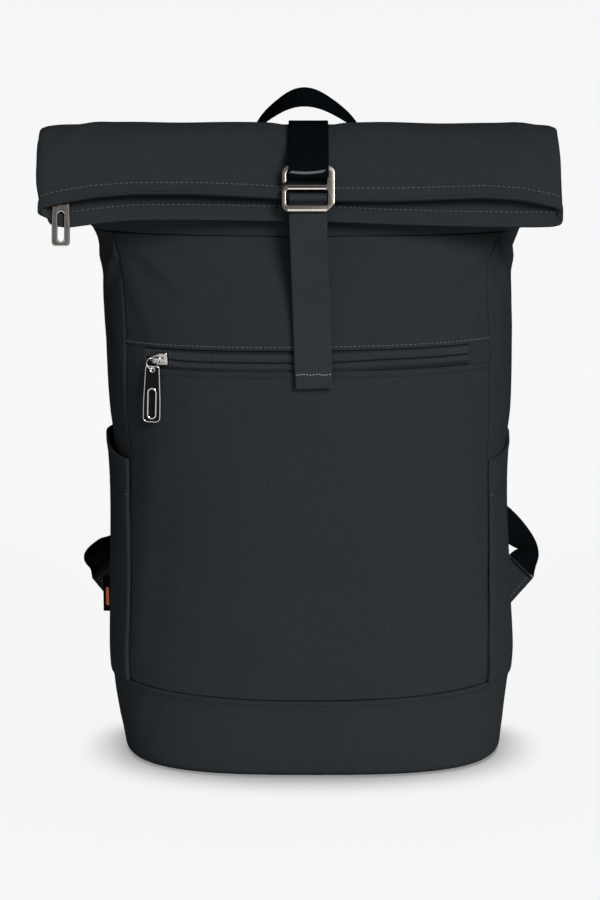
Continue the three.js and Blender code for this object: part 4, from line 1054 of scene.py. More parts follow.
# %% The folded top's form
ROLL_RISE, ROLL_HALF_WIDTH, ROLL_SHIFT, ROLL_FULLNESS = 74.0, 174.0, -7.0, 7.0
ROLL_ROWS = np.array([
    # outer forward, outer up, inner forward, inner up, width
    (0, 0, 1, 0, 0), (0.03, 0.26, 0.98, 0.19, 0.3), (0.1, 0.5, 0.935, 0.365, 0.6), (0.23, 0.7, 0.885, 0.515, 0.82),
    (0.4, 0.865, 0.835, 0.62, 0.94), (0.595, 0.97, 0.802, 0.685, 0.985), (0.77, 1, 0.812, 0.72, 1),
    (0.895, 0.935, 0.845, 0.715, 1), (0.98, 0.8, 0.885, 0.645, 1), (1.04, 0.64, 0.935, 0.52, 1),
    (1.085, 0.48, 0.995, 0.37, 1), (1.115, 0.38, 1.045, 0.22, 1), (1.125, 0.34, 1.07, 0.1, 1),
])
ROLL_KEYS = np.linspace(0, 1, len(ROLL_ROWS))
NECK = body_oval(NECK_HEIGHT)
NECK_DEPTH = float(NECK["depths"][0] + NECK["depths"][1])
NECK_BACK = float(WIDEST_PLANE + NECK["depths"][1])


def roll_guides(s):
    """Outer and inner guide points (y, z) at places s from 0 at the neck to 1 at the mouth."""
    column = [curve_through(ROLL_KEYS, ROLL_ROWS[:, k], s) for k in range(5)]
    outer = np.stack([NECK_BACK - NECK_DEPTH * column[0], NECK_HEIGHT + ROLL_RISE * column[1]], axis=-1)
    inner = np.stack([NECK_BACK - NECK_DEPTH * column[2], NECK_HEIGHT + ROLL_RISE * column[3]], axis=-1)
    return outer, inner, column[4]


def roll_surface(s, turn):
    outer, inner, widen = roll_guides(s)
    span = outer - inner
    length = np.linalg.norm(span, axis=-1)
    direction = span / length[..., None]
    settle = smooth_step(s, 0, 0.45)
    split = blend(NECK["depths"][0] / NECK_DEPTH, 0.5, settle)
    middle = inner + span * split[..., None]
    fullness = (blend(FRONT_FULLNESS, ROLL_FULLNESS, settle), blend(BACK_FULLNESS, ROLL_FULLNESS, settle))
    half_width = blend(NECK["half_width"], ROLL_HALF_WIDTH, widen)
    x, across = oval_point(turn, half_width, (length * split, length * (1 - split)), fullness)
    yz = middle + direction * across[..., None]
    return np.stack([blend(NECK["shift"], ROLL_SHIFT, widen) + x, yz[..., 0], yz[..., 1]], axis=-1)


lip_outer, lip_inner, _ = roll_guides(np.array(1.0))
print("lips", lip_outer, lip_inner)

# %% [markdown]
# Real lips are never straight. Two more tables hold how much each lip rises or falls across the bag, and
# the last fifth of the tube follows them.

# %% The folded top
LIP_X = np.array([-181, -173, -158, -140, -115, -77, -18, 0, 21, 56, 94, 113, 140, 155, 168], float)
OUTER_LIP = np.array([-3.6, -2.8, -0.6, 2.1, 4.0, 4.0, 1.0, 0.1, -0.7, -0.7, 0.7, 1.5, 0.2, -2.2, -3.8])
INNER_LIP = np.array([-2.5, -2.2, -1.9, 1.0, 3.4, 3.6, 2.7, 2.4, 2.0, 0.5, -0.6, -1.0, -1.6, -2.1, -2.8])
ROLL_HEM, STITCH_UP_OUTER, STITCH_UP_INNER = 9.6, 8.6, 9.8
STRAP_X, STRAP_HALF = -0.9, 12.5
LEFT_IN, LEFT_LOW_IN, RIGHT_IN, CORNER_TUCK, STRAP_PRESS = 0.1, 2.3, 0.4, 6.5, 2.5
ROLL_FOLDS = [
    # x, place along s * 100, slant, half length, half width, height
    (120, 66, 10, 60, 6, 0.9), (-118, 64, -8, 60, 6, 0.8), (64, 74, 5, 50, 5, 0.6), (-60, 76, -4, 56, 5, 0.6),
    (150, 56, 36, 26, 5, 0.9), (-154, 58, -38, 26, 5, 1.0), (-20, 52, 3, 70, 6, 0.5), (40, 84, -4, 70, 5, 0.5),
]


def strap_dip(s):
    """How deep the strap presses into the roll."""
    return STRAP_PRESS * smooth_step(s, 0.1, 0.3) * (1 - smooth_step(s, 0.56, 0.68))


shares = np.linspace(-0.97, 0.97, 108)
face_turns = np.arctan2((1 - np.abs(shares) ** ROLL_FULLNESS) ** (1 / ROLL_FULLNESS), shares)
gap_turns = np.linspace(face_turns[0] - 2 * np.pi, -face_turns[0], 15)[1:-1]
far_turns = np.linspace(-face_turns[-1], face_turns[-1], 15)[1:-1]
roll_turns = np.concatenate([face_turns[::-1], gap_turns + 2 * np.pi, -face_turns, far_turns + 2 * np.pi])
roll_turns = np.sort(np.mod(roll_turns, 2 * np.pi))
# Places along the tube: even steps, and closer ones by the lips, where the hem, stitches and rolled edge are
lip_share = np.array([0.0, 0.25, 0.6, 1.1, 1.6, 2.0, 2.4, 2.9, 4.2, 5.8, 7.2, 7.9, 8.5, 9.1, 9.8, 10.6, 11.8]) / 148
roll_s = np.sort(np.concatenate([np.linspace(0, 1 - 13.5 / 148, 62), 1 - lip_share]))
s, turn = roll_s[None, :], roll_turns[:, None]
roll_grid = roll_surface(s + 0 * turn, turn + 0 * s)
is_outer = smooth_step(np.sin(turn) + 0 * s, -0.35, 0.35)
# The folded ends are drawn in a little, and the mouth's lower left corner is tucked up
share = (roll_grid[..., 0] - ROLL_SHIFT) / ROLL_HALF_WIDTH
drawn_in = smooth_step(s, 0.15, 0.4)
left_in = (LEFT_IN + LEFT_LOW_IN * smooth_step(s, 0.78, 0.9)) * np.clip(-share, 0, 1) ** 4
right_in = RIGHT_IN * (1 - smooth_step(s, 0.72, 0.92)) * np.clip(share, 0, 1) ** 4
roll_grid[..., 0] += drawn_in * (left_in - right_in)
roll_grid[..., 0] += CORNER_TUCK * (1 - is_outer) * smooth_step(s, 0.86, 1.0) * smooth_step(-share, 0.88, 0.99)
x = roll_grid[..., 0]
sway = blend(np.interp(x, LIP_X, INNER_LIP), np.interp(x, LIP_X, OUTER_LIP), is_outer)
roll_grid[..., 2] += sway * smooth_step(s, 0.78, 1.0)
roll_run = running_length(roll_grid, 1)
to_lip = roll_run[:, -1:] - roll_run
under_strap = np.exp(-((np.abs(x - STRAP_X) / (STRAP_HALF + 7)) ** 4)) * is_outer
roll_relief = (
    -strap_dip(s) * under_strap - 0.7 * is_outer * smooth_step(s, 0.25, 0.5) * (1 - smooth_step(s, 0.8, 0.97))
    + folds(x, 100 * s + 0 * x, ROLL_FOLDS) * is_outer
    + ripples(x, 90 * s + 60 * is_outer, 0.45, 1.0) * (1 - under_strap) * smooth_step(s, 0.02, 0.2) * (
        1 - 0.6 * smooth_step(s, 0.9, 1))
    + 0.45 / (1 + np.exp((to_lip - ROLL_HEM) / 0.5)) - 0.5 * is_outer * bell((to_lip - 2.3) / 0.5)
    + groove(to_lip - blend(STITCH_UP_INNER, STITCH_UP_OUTER, is_outer), x, 0.45, 0.8, 0.14, 8.0)
) * smooth_step(s, 0.0, 0.04)
roll_thick = blend(CLOTH, 3.0, smooth_step(-to_lip, -ROLL_HEM - 1, -ROLL_HEM + 1)) + 0 * x
roll_piece, roll_outer, roll_normals = cloth_sheet(
    "roll_top_cloth", roll_grid, *CLOTH_LOOK, thickness=roll_thick, edges=(0, 0, 0.8, 1.2),
    closed=True, relief=roll_relief, stands_for=["roll_top"])
print("roll", len(roll_piece.data.vertices), "run", float(roll_run[:, -1].max()))

# %% [markdown]
# A thin lining hangs inside the body, as it does in the real bag, so that nobody looks through a seam. It
# keeps behind the padding at the back, and its top rows follow the inside of the roll.

# %% The lining
LINING_IN, LINING_BACK_IN, LINING_SIDE_IN, LINING_LOW, LINING_HIGH = 2.9, 5.2, 5.5, 46, 364
lining_rows = []
for z in np.linspace(LINING_LOW, LINING_HIGH, 24):
    inset = LINING_IN + LINING_BACK_IN * smooth_step(np.sin(roll_turns), 0.25, 0.75)
    inset = inset + LINING_SIDE_IN * np.abs(np.cos(roll_turns)) ** 3 * smooth_step(z, 315, 345)
    lining_rows.append(body_point(roll_turns, np.full_like(roll_turns, z), inset))
lining_rows += list(np.swapaxes(roll_grid - roll_normals * 3.0, 0, 1)[1:5])
lining, _, _ = cloth_sheet("lining", np.stack(lining_rows, axis=1), *CLOTH_LOOK, thickness=0.5,
                           edges=(0, 0, 0, 0), closed=True)
print("lining", len(lining.data.vertices))

# %% [markdown]
# Two rows of stitches hold the mouth's hem. On the outer lip the row shows on the cloth's face. On the
# inner lip it shows on the inside face, which looks out between the lips.

# %% The mouth's stitches
top_rows = np.where((np.sin(roll_turns) > 0) & (np.abs(np.cos(roll_turns)) < 0.88))[0]
low_rows = np.where((np.sin(roll_turns) < 0) & (np.abs(np.cos(roll_turns)) < 0.88))[0]
line, facing = surface_line(roll_outer[top_rows], roll_normals[top_rows], -to_lip[top_rows], -STITCH_UP_OUTER)
stitch_row("stitches_outer_lip", line, facing, pitch=3.3, long=2.5)
inside_face = roll_grid - roll_normals * roll_thick[..., None]
line, facing = surface_line(inside_face[low_rows], -roll_normals[low_rows], -to_lip[low_rows], -STITCH_UP_INNER)
stitch_row("stitches_inner_lip", line, facing, pitch=3.3, long=2.5)
line, facing = surface_line(roll_outer[low_rows], roll_normals[low_rows], -to_lip[low_rows], -STITCH_UP_INNER)
stitch_row("stitches_inner_back", line, facing, pitch=3.3, long=2.5)

# %% [markdown]
# Webbing is woven flat and stiff, with a thicker selvedge at both edges. Every strap here is one ring, the
# strap's section, carried along stations. A station has a middle, a direction across the strap and one out
# of its face.

# %% Webbing
def webbing_finish(name, colour, light, pitch, rough, depth, sheen=0.02, gloss=0.12):
    """Webbing: crowns of thread in rows across, and finer ribs along."""
    made = Finish(name, Roughness=rough, Sheen_Weight=sheen, Sheen_Roughness=0.4, Specular_IOR_Level=gloss)
    scale = math.pi / 10 / pitch / 2
    along = made.stripes(made.uv(), scale, "X", 0.2)
    across = made.stripes(made.uv(), scale * 0.62, "Y", 0.2)
    crowns = along * across + (1 - along) * (1 - across)
    fuzz = made.noise(made.uv(), 900, 3.0, 0.6)
    wear = made.noise(made.uv(), 55, 3.0, 0.6)
    toned = made.mix(crowns * 0.75 + fuzz * 0.25, colour, light)
    made.set(Base_Color=made.mix(wear * 0.35, toned, tuple(0.7 * c for c in colour)))
    made.set(Roughness=rough - 0.1 + 0.2 * fuzz, Normal=made.bump(crowns + fuzz * 0.4, depth))
    return made.material


grey_webbing = webbing_finish("grey_webbing", hue(10, 12, 13), hue(50, 54, 57), 0.00085, 0.62, 0.00022, 0.01, 0.08)
black_webbing = webbing_finish("black_webbing", hue(4, 6, 7), hue(12, 15, 17), 0.0007, 0.6, 0.00008, 0.0, 0.0)
LEDGE = 5


def strap_section(width, thick, selvedge=0.06, lines=15):
    """A flat ring: points (across, out) round a strap's section, with round edges and slightly thicker selvedges."""
    r = thick / 2
    across = np.linspace(-(width / 2 - r), width / 2 - r, lines)
    lip = selvedge * thick * bell((np.abs(across) - (width / 2 - 1.6)) / 1.1)
    top = np.stack([across, r + lip], axis=1)
    low = np.stack([across[::-1], -(r + lip[::-1])], axis=1)
    edge = np.array([(math.cos(a), math.sin(a)) for a in np.linspace(np.pi / 2, -np.pi / 2, LEDGE + 2)[1:-1]]) * r
    reach = np.array([width / 2 - r, 0])
    return np.concatenate([top, edge + reach, low, -edge - reach])


def station_axes(middles, across):
    """The directions along, across and out of a strap at each station."""
    run = unit(np.gradient(middles, axis=0))
    across = unit(across - run * np.sum(across * run, axis=1, keepdims=True))
    return run, across, np.cross(run, across)


def carried(name, middles, across, sections, finish, stands_for=(), crease=40, relief=None):
    """A ring carried along stations. Sections are one ring, or one for each station."""
    middles = np.asarray(middles, float)
    run, across, out = station_axes(middles, np.asarray(across, float))
    sections = np.asarray(sections, float)
    if sections.ndim == 2:
        sections = np.broadcast_to(sections, (len(middles), *sections.shape))
    points = (middles[:, None] + across[:, None] * sections[..., :1] + out[:, None] * sections[..., 1:2])
    count, ring = points.shape[:2]
    length = np.concatenate([[0], np.cumsum(np.linalg.norm(np.diff(middles, axis=0), axis=1))])
    if relief is not None:
        rise = relief(sections[..., 0], length[:, None])
        points = points + out[:, None] * (rise * np.sign(sections[..., 1]))[..., None]
    along = np.broadcast_to(length[:, None], (count, ring))
    uvs = np.stack([sections[..., 0] + 60 * (sections[..., 1] < 0), along], axis=-1)
    faces = []
    for k in range(count - 1):
        for i in range(ring):
            j = (i + 1) % ring
            faces.append((k * ring + j, k * ring + i, (k + 1) * ring + i, (k + 1) * ring + j))
    faces.append(tuple(range(ring)))
    faces.append(tuple((count - 1) * ring + i for i in range(ring))[::-1])
    return add_mesh(name, points.reshape(-1, 3), faces, finish, uvs.reshape(-1, 2), stands_for, crease)


def smooth_path(points, step):
    """A smooth line through points, with a place every step or so."""
    points = np.asarray(points, float)
    steps = np.linalg.norm(np.diff(points[:, :3], axis=0), axis=1)
    keys = np.concatenate([[0], np.cumsum(np.maximum(steps, 0.05))])
    places = np.linspace(0, keys[-1], max(3, int(keys[-1] / step)))
    return np.stack([curve_through(keys, points[:, k], places) for k in range(points.shape[1])], axis=1)


# %% [markdown]
# The hook hangs off the roll's lip, tilted back with it. A few lengths place it, and both straps are
# threaded through it by them. on_hook gives a point seen from the side: so far up the hook, and so far out
# of its face.

# %% Where the hook hangs
HOOK_WIDTH, HOOK_THICK, HOOK_BAR, HOOK_SLOT, HOOK_THROAT, HOOK_TILT = 34.0, 3.0, 3.6, 9.6, 9.6, 0.3
HOOK_RIGHT, HOOK_LEFT, HOOK_RISE, HOOK_STAND_OFF = 5.0, 3.2, 1.84, 4.6
WEBBING, WEBBING_WIDTH = 1.4, 25.0
hook_middle = np.array([lip_outer[0] - HOOK_STAND_OFF, lip_outer[1] + HOOK_RISE])
hook_up = np.array([math.sin(HOOK_TILT), math.cos(HOOK_TILT)])
hook_out = np.array([-math.cos(HOOK_TILT), math.sin(HOOK_TILT)])
TOP_BAR_UP = HOOK_SLOT / 2 + HOOK_BAR + HOOK_THROAT + HOOK_BAR / 2


def on_hook(up, out):
    return tuple(hook_middle + hook_up * up + hook_out * out)


print("hook middle", hook_middle, "top bar", on_hook(TOP_BAR_UP, 0))

# %% [markdown]
# The grey strap is sewn to the panel above the zip. It climbs behind the hook's lowest bar, folds over the
# slot's bar and comes down again as a free tail, which drifts a little to the right. The tail's end is
# folded and stitched into a hem.

# %% The grey front strap
TAIL_DROP, HEM, ANCHOR_RISE, ANCHOR_LEAD, STRAP_SKEW, SLOT_BAR = 24.3, 8.0, 8.7, 12.0, 0.036, 1.1
HEM_SEEN = 10.4


def panel_y(z):
    return float(body_point(-np.pi / 2, z)[1])


behind = -HOOK_THICK / 2 - GAP - WEBBING / 2
wrap = SLOT_BAR + GAP + WEBBING / 2
low_bar_top = -HOOK_SLOT / 2
on_panel = GAP + WEBBING / 2
layer = WEBBING + GAP
seam_end, anchor, tail_end = ZIP_TOP + 2, ZIP_TOP + ANCHOR_RISE, ZIP_TOP - TAIL_DROP
rise = anchor + ANCHOR_LEAD
clear_panel = layer + on_panel + 1.2
rows = [(panel_y(seam_end) - on_panel, seam_end), (panel_y(anchor) - on_panel, anchor),
        (panel_y(rise) - on_panel - 1.2, rise), on_hook(low_bar_top - HOOK_BAR - 6, behind - layer),
        on_hook(low_bar_top + 1.4, behind - layer), on_hook(-1.2, -wrap - 0.9)]
rows += [on_hook(math.sin(a) * wrap, -math.cos(a) * wrap) for a in np.linspace(0, 1.4 * np.pi, 9)]
rows += [on_hook(low_bar_top + 1.6, behind + 0.9), on_hook(low_bar_top - 0.4, behind),
         on_hook(low_bar_top - HOOK_BAR - 5, behind), (panel_y(rise) - clear_panel - 1, rise),
         (panel_y(tail_end + 2 * HEM) - clear_panel, tail_end + 2 * HEM),
         (panel_y(tail_end) - clear_panel + 0.1, tail_end)]
path = smooth_path(np.array(rows), 0.9)
skew = np.maximum(0, hook_middle[1] - HOOK_SLOT - path[:, 1]) * STRAP_SKEW
middles = np.stack([STRAP_X + skew, path[:, 0], path[:, 1]], axis=1)
across = to_right(len(middles))
to_end = np.linalg.norm(middles - middles[-1], axis=1) + 1000 * (np.arange(len(middles)) < len(middles) * 0.6)
ply = np.where(to_end < HEM_SEEN, 1.85, 1.0) * np.where(to_end < 0.6, 0.75, 1.0)
sections = np.array([strap_section(WEBBING_WIDTH, WEBBING * k) for k in ply])


def webbing_ribs(x, run):
    """Low ribs along the strap."""
    return 0.07 * np.cos(2 * np.pi * x / 3.1)


front_strap = carried("front_strap_webbing", middles, across, sections, grey_webbing,
                      ["front_strap"], relief=webbing_ribs)
hem_top = np.array([[x, panel_y(tail_end + HEM_SEEN) - clear_panel - WEBBING * 0.92, tail_end + HEM_SEEN - 0.9
                     + 0.25 * math.sin(0.7 * x)]
                    for x in np.linspace(-WEBBING_WIDTH / 2 + 0.6, WEBBING_WIDTH / 2 - 0.6, 24)])
hem_top[:, 0] += STRAP_X + (hook_middle[1] - HOOK_SLOT - tail_end - HEM) * STRAP_SKEW
stitch_row("stitches_tail", hem_top, to_front(24), pitch=2.1, long=2.1, wide=0.7,
           finish=tack_cord)
seam_row = np.array([[x, panel_y(anchor) - on_panel - WEBBING * 0.5, anchor - 3] for x in
                     np.linspace(STRAP_X - 11, STRAP_X + 11, 24)])
stitch_row("stitches_anchor", seam_row, to_front(24), pitch=2.3, long=1.8)
print("front strap", len(front_strap.data.vertices), "length", path_length(middles))

# %% [markdown]
# The black strap comes from the back seam over the roll. It passes through the hook's top and doubles back
# under itself, and two bars of thread, called tacks, hold the doubled part.

# %% The black top strap
LOOP_PLY = 1.36
UNDER_OFF, UPPER_OFF = GAP + 0.7, GAP + 2.12
LAST_ON_ROLL = 0.65


def over_roll(s, off):
    ahead, back = roll_guides(np.array(s + 0.01))[0], roll_guides(np.array(s - 0.01))[0]
    run = unit(ahead - back)
    point = roll_guides(np.array(s))[0] + np.array([run[1], -run[0]]) * (off - float(strap_dip(s)))
    return tuple(point)


rows = [over_roll(s, blend(UNDER_OFF, UPPER_OFF, float(smooth_step(s, 0.34, 0.42))))
        for s in np.linspace(0.02, LAST_ON_ROLL, 24)]
loop = [(7.5, 0.72), (4.6, 1.9), (2.4, 2.5), (0, 2.6), (-3.2, 2.4), (-5.8, 1.7), (-6.9, 0.6), (-6.9, -0.6),
        (-5.8, -1.7), (-3.2, -2.4), (0, -2.55), (2.4, -2.5), (4.6, -0.1), (7.5, -0.68)]
rows += [on_hook(TOP_BAR_UP + up, out) for up, out in loop]
rows += [over_roll(s, UNDER_OFF) for s in np.linspace(LAST_ON_ROLL, 0.42, 9)]
path = smooth_path(np.array(rows), 1.1)
middles = np.stack([np.full(len(path), STRAP_X + 0.5), path[:, 0], path[:, 1]], axis=1)
top_strap = carried("top_strap_webbing", middles, to_right(len(middles)),
                    strap_section(WEBBING_WIDTH + 1.6, LOOP_PLY), black_webbing, ["top_strap"])
print("top strap", len(top_strap.data.vertices), "length", path_length(middles))


def tack(name, s_place, slant):
    """A bar of close thread across the strap."""
    points, facing = [], []
    for x in np.linspace(-11.2, 11.2, 30):
        y, z = over_roll(s_place - slant * x / 22.4, UPPER_OFF + LOOP_PLY / 2 - 0.02)
        points.append((STRAP_X + x, y, z))
        ahead, back = over_roll(s_place + 0.01, 0), over_roll(s_place - 0.01, 0)
        run = np.subtract(ahead, back)
        facing.append((0.0, run[1], -run[0]))
    return ribs(name, np.array(points), unit(facing), 1.2, pitch=0.62, wide=0.6, high=0.5, finish=tack_cord,
                slant=1.3)


tack("tack_upper", 0.674, 0.012)
# The lower tack crosses the loop just under the bar that it hangs on, and sags in the middle
sag = [(STRAP_X + x, *on_hook(TOP_BAR_UP - 4.0 + 0.03 * x + 1.1 * (x / 11.2) ** 2, 2.2 + LOOP_PLY / 2)) for x in
       np.linspace(-11.2, 11.2, 30)]
ribs("tack_lower", np.array(sag), np.tile((0.0, *hook_out), (30, 1)), 1.9, pitch=0.66, wide=0.66, high=0.7,
     finish=tack_cord, slant=1.3)

# %% [markdown]
# Cast and polished metal. The hook is gunmetal, tumbled smooth: a dark warm grey that mirrors the softboxes
# in broad blurred bands. The slider, the ring and the pulls' rims are brighter. A little noise in the
# roughness is the difference between metal and grey plastic, and small dents keep the highlights from being
# perfectly straight.

# %% Metal finishes
def metal_finish(name, colour, rough, spread=0.05, depth=0.000006, scale=260):
    made = Finish(name, Metallic=1.0)
    place = made.place()
    cloudy = made.noise(place, scale, 2.0, 0.5)
    fine = made.noise(place, scale * 5, 2.0, 0.5)
    shade = made.node("MapRange", None, cloudy, 0.3, 0.7, 0.0, 1.0)
    made.set(Base_Color=made.mix(shade, tuple(0.86 * c for c in colour), colour))
    made.set(Roughness=rough - spread / 2 + spread * fine, Normal=made.bump(cloudy + fine * 0.3, depth))
    return made.material


gunmetal = metal_finish("gunmetal", hue(116, 110, 105), 0.22)
# Pale metal for painted highlights on the hook's bars
painted_highlight_metal = metal_finish("painted_highlight_metal", hue(226, 219, 212), 0.24)
bright_metal = metal_finish("bright_metal", hue(205, 203, 199), 0.13)
dark_metal = metal_finish("dark_polished_metal", hue(28, 27, 26), 0.2)
BRIGHT_LOOK = (bright_metal, "bright_metal")


def rounded(corners, steps=7):
    """A closed outline from corners (x, y, radius): each corner becomes an arc of its radius."""
    corners = [(np.array(c[:2], float), c[2]) for c in corners]
    line = []
    for k, (here, radius) in enumerate(corners):
        before, after = corners[k - 1][0], corners[(k + 1) % len(corners)][0]
        a, b = before - here, after - here
        la, lb = np.linalg.norm(a), np.linalg.norm(b)
        a, b = a / la, b / lb
        half_angle = math.acos(np.clip(a @ b, -1, 1)) / 2
        if radius <= 0 or half_angle > 1.55:
            line.append(here)
            continue
        reach = min(radius / math.tan(half_angle), 0.49 * la, 0.49 * lb)
        radius = reach * math.tan(half_angle)
        centre = here + (a + b) / np.linalg.norm(a + b) * radius / math.sin(half_angle)
        start, end = here + a * reach - centre, here + b * reach - centre
        turn_by = math.atan2(start[0] * end[1] - start[1] * end[0], start @ end)
        for t in np.linspace(0, turn_by, steps):
            c, s = math.cos(t), math.sin(t)
            line.append(centre + np.array([c * start[0] - s * start[1], s * start[0] + c * start[1]]))
    return np.array(line)


def curve_piece(name, outlines, finish, slot, thick=0.0, bevel=0.4, flat=True, closed=True, place=None,
                stands_for=()):
    """A bevelled plate from outlines in mm, or where flat is false a round wire along each line."""
    data = bpy.data.curves.new(name, "CURVE")
    data.dimensions = "2D" if flat else "3D"
    data.fill_mode = "BOTH" if flat else "FULL"
    data.extrude = max(0.0, thick / 2 - bevel) * MM if flat else 0.0
    data.bevel_depth = bevel * MM
    data.bevel_resolution = 3
    data.offset = -bevel * MM if flat else 0.0
    for outline in outlines:
        line = data.splines.new("POLY")
        line.points.add(len(outline) - 1)
        for point, place_of in zip(line.points, outline):
            spot = tuple(np.asarray(place_of, float) * MM)
            point.co = (*spot, 1.0) if len(spot) == 3 else (*spot, 0.0, 1.0)
        line.use_cyclic_u = closed
    made = bpy.data.objects.new(name + "_curve", data)
    link(made)
    bpy.context.view_layer.update()
    ready = made.evaluated_get(bpy.context.evaluated_depsgraph_get())
    mesh = bpy.data.meshes.new_from_object(ready)
    bpy.data.objects.remove(made)
    bpy.data.curves.remove(data)
    mesh.name = name
    if place is not None:
        mesh.transform(place)
    mesh.materials.clear()
    mesh.materials.append(finish)
    weld(mesh)
    return placed(name, mesh, stands_for, 35)


def weld(mesh, reach=0.00002):
    """Joins points that share a place, so that a plate's faces and edges are one closed surface."""
    work = bmesh.new()
    work.from_mesh(mesh)
    bmesh.ops.remove_doubles(work, verts=work.verts, dist=reach)
    bmesh.ops.recalc_face_normals(work, faces=work.faces)
    work.to_mesh(mesh)
    work.free()


def frame_matrix(x_axis, y_axis, z_axis, origin):
    """A placing matrix from three directions and an origin in mm."""
    columns = np.stack([x_axis, y_axis, z_axis, np.multiply(origin, MM)], axis=1).astype(float)
    return Matrix([*columns.tolist(), (0, 0, 0, 1)])


# %% [markdown]
# The hook is one casting: a frame with a slot below, where the grey strap folds over, and an open throat
# above, whose bar carries the black strap. The throat's left end curls down to a tip and leaves a gap,
# which is how the strap is unhooked. The outline is drawn with rounded corners, then given its thickness
# and a soft bevel.

# %% The hook
w, low = HOOK_WIDTH / 2, -(HOOK_SLOT / 2 + HOOK_BAR + 1.4)
left = w + 1.2
mid = HOOK_SLOT / 2 + HOOK_BAR
top = mid + HOOK_THROAT + HOOK_BAR
frame_line = rounded([
    (-left, low, 5.5), (w - 5.4, low, 1.6), (w, low + 5.6, 1.8), (w, top, 5.2), (-left, top, 8.0),
    (-left + 0.2, mid + 0.9, 1.5), (-left + HOOK_LEFT + 0.2, mid + 0.9, 1.5),
    (-left + HOOK_LEFT, top - HOOK_BAR, 3.0),
    (w - HOOK_RIGHT, top - HOOK_BAR, 2.0), (w - HOOK_RIGHT - 0.6, mid, 0.8), (-left, mid, 5.0),
])
slot_line = rounded([
    (-left + HOOK_LEFT, -HOOK_SLOT / 2 - 0.5, 1.6), (w - HOOK_RIGHT, -HOOK_SLOT / 2 - 0.5, 1.2),
    (w - HOOK_RIGHT, HOOK_SLOT / 2, 0.8), (-left + HOOK_LEFT, HOOK_SLOT / 2, 1.6),
])
hook_place = frame_matrix((1, 0, 0), (0, *hook_up), (0, *hook_out), (0, *hook_middle))
hook = curve_piece("hook_frame", [frame_line, slot_line], gunmetal, "dark_metal", HOOK_THICK, 0.6,
                   place=hook_place, stands_for=["hook"])
# Painted highlight: thin wires of pale metal along the bars' lower edges stand for the bright bands there, and a
# dark wire above the brightness is painted shade
for name, up, wide, finish in (("middle", HOOK_SLOT / 2 + 0.85, 0.75, painted_highlight_metal),
                               ("lowest", low + 1.25, 0.95, painted_highlight_metal),
                               ("groove", HOOK_SLOT / 2 + 2.1, 0.35, dark_metal)):
    out = HOOK_THICK / 2 + 0.15 - wide / 2
    rib = [(-left + 4.2, up, out), (w - HOOK_RIGHT - 0.8, up, out)]
    curve_piece(f"hook_rib_{name}", [rib], finish, "dark_metal", bevel=wide, flat=False, closed=False,
                place=hook_place)
bar = [(-w + HOOK_LEFT - 0.4, 0, 0), (w - HOOK_RIGHT + 0.4, 0, 0)]
curve_piece("hook_slot_bar", [bar], dark_metal, "dark_metal", bevel=SLOT_BAR, flat=False, closed=False,
            place=hook_place)
print("hook", len(hook.data.vertices))

# %% [markdown]
# Both zip pulls are long plates with a slot. The front one has a face of dark polish inside a bright rim,
# and its slot is lined with a bright ring. The mouth's pull has a gunmetal face. The slider is a small
# casting with a bridge, and a wire ring joins the two.

# %% Pulls, ring and slider
PULL_LONG, PULL_TOP, PULL_LOW, PULL_THICK, PULL_SLOT_WIDE, PULL_SLOT_LONG = 39.0, 9.8, 12.0, 1.6, 4.8, 20.0


def pull_outline(shrink=0.0):
    top, low = 2.6 - shrink, 2.6 - PULL_LONG + shrink
    wt, wl = PULL_TOP / 2 - shrink, PULL_LOW / 2 - shrink
    return rounded([(-wt, top, 1.4), (-wl, low + PULL_LONG * 0.35, 14.0), (-wl, low, 2.6), (wl, low, 2.6),
                    (wl, low + PULL_LONG * 0.35, 14.0), (wt, top, 1.4)])


def slot_outline(grow=0.0):
    low = 2.6 - PULL_LONG
    half, long = PULL_SLOT_WIDE / 2 + grow, PULL_SLOT_LONG / 2 + grow
    middle = low + 3 + PULL_SLOT_LONG / 2
    return rounded([(-half, middle - long, half), (half, middle - long, half), (half, middle + long, half),
                    (-half, middle + long, half)], steps=10)


def raised(line, height):
    return [(x, y, height) for x, y in line]


def add_pull(name, place, face, rim, slot, stands_for):
    eye = [(1.7 * math.cos(a), 1.7 * math.sin(a)) for a in np.linspace(0, 2 * np.pi, 20, endpoint=False)]
    curve_piece(name, [pull_outline(), slot_outline(), eye], face, slot, PULL_THICK, 0.4, place=place,
                stands_for=stands_for)
    curve_piece(name + "_rim", [raised(pull_outline(0.42), 0.42)], rim, slot, bevel=0.46, flat=False, place=place)
    curve_piece(name + "_slot_ring", [raised(slot_outline(0.35), 0.40)], rim, slot, bevel=0.62, flat=False,
                place=place)
    curve_piece(name + "_eye_ring", [raised(eye, 0.3)], rim, slot, bevel=0.5, flat=False, place=place)


def turn_about(axis, angle):
    """A turn about x (0), y (1) or z (2)."""
    made = np.eye(3)
    a, b = (axis + 1) % 3, (axis + 2) % 3
    made[a, a] = made[b, b] = math.cos(angle)
    made[b, a], made[a, b] = math.sin(angle), -math.sin(angle)
    return made


SLIDER_LONG, SLIDER_WIDE, SLIDER_HIGH, SLIDER_PLACE, RING_RADIUS, RING_WIRE = 13.0, 8.5, 2.6, -100.0, 3.8, 0.45
slider_z = zip_middle(SLIDER_PLACE)
slider_turn = front_turn(SLIDER_PLACE, slider_z)
on = body_point(slider_turn, slider_z, -(GAP - ZIP_RECESS))
up_axis = unit(body_point(slider_turn, slider_z + 5) - body_point(slider_turn, slider_z - 5))
out_axis = body_point(slider_turn, slider_z, -1) - body_point(slider_turn, slider_z)
out_axis = unit(out_axis - up_axis * (out_axis @ up_axis))
across_axis = np.cross(up_axis, out_axis)


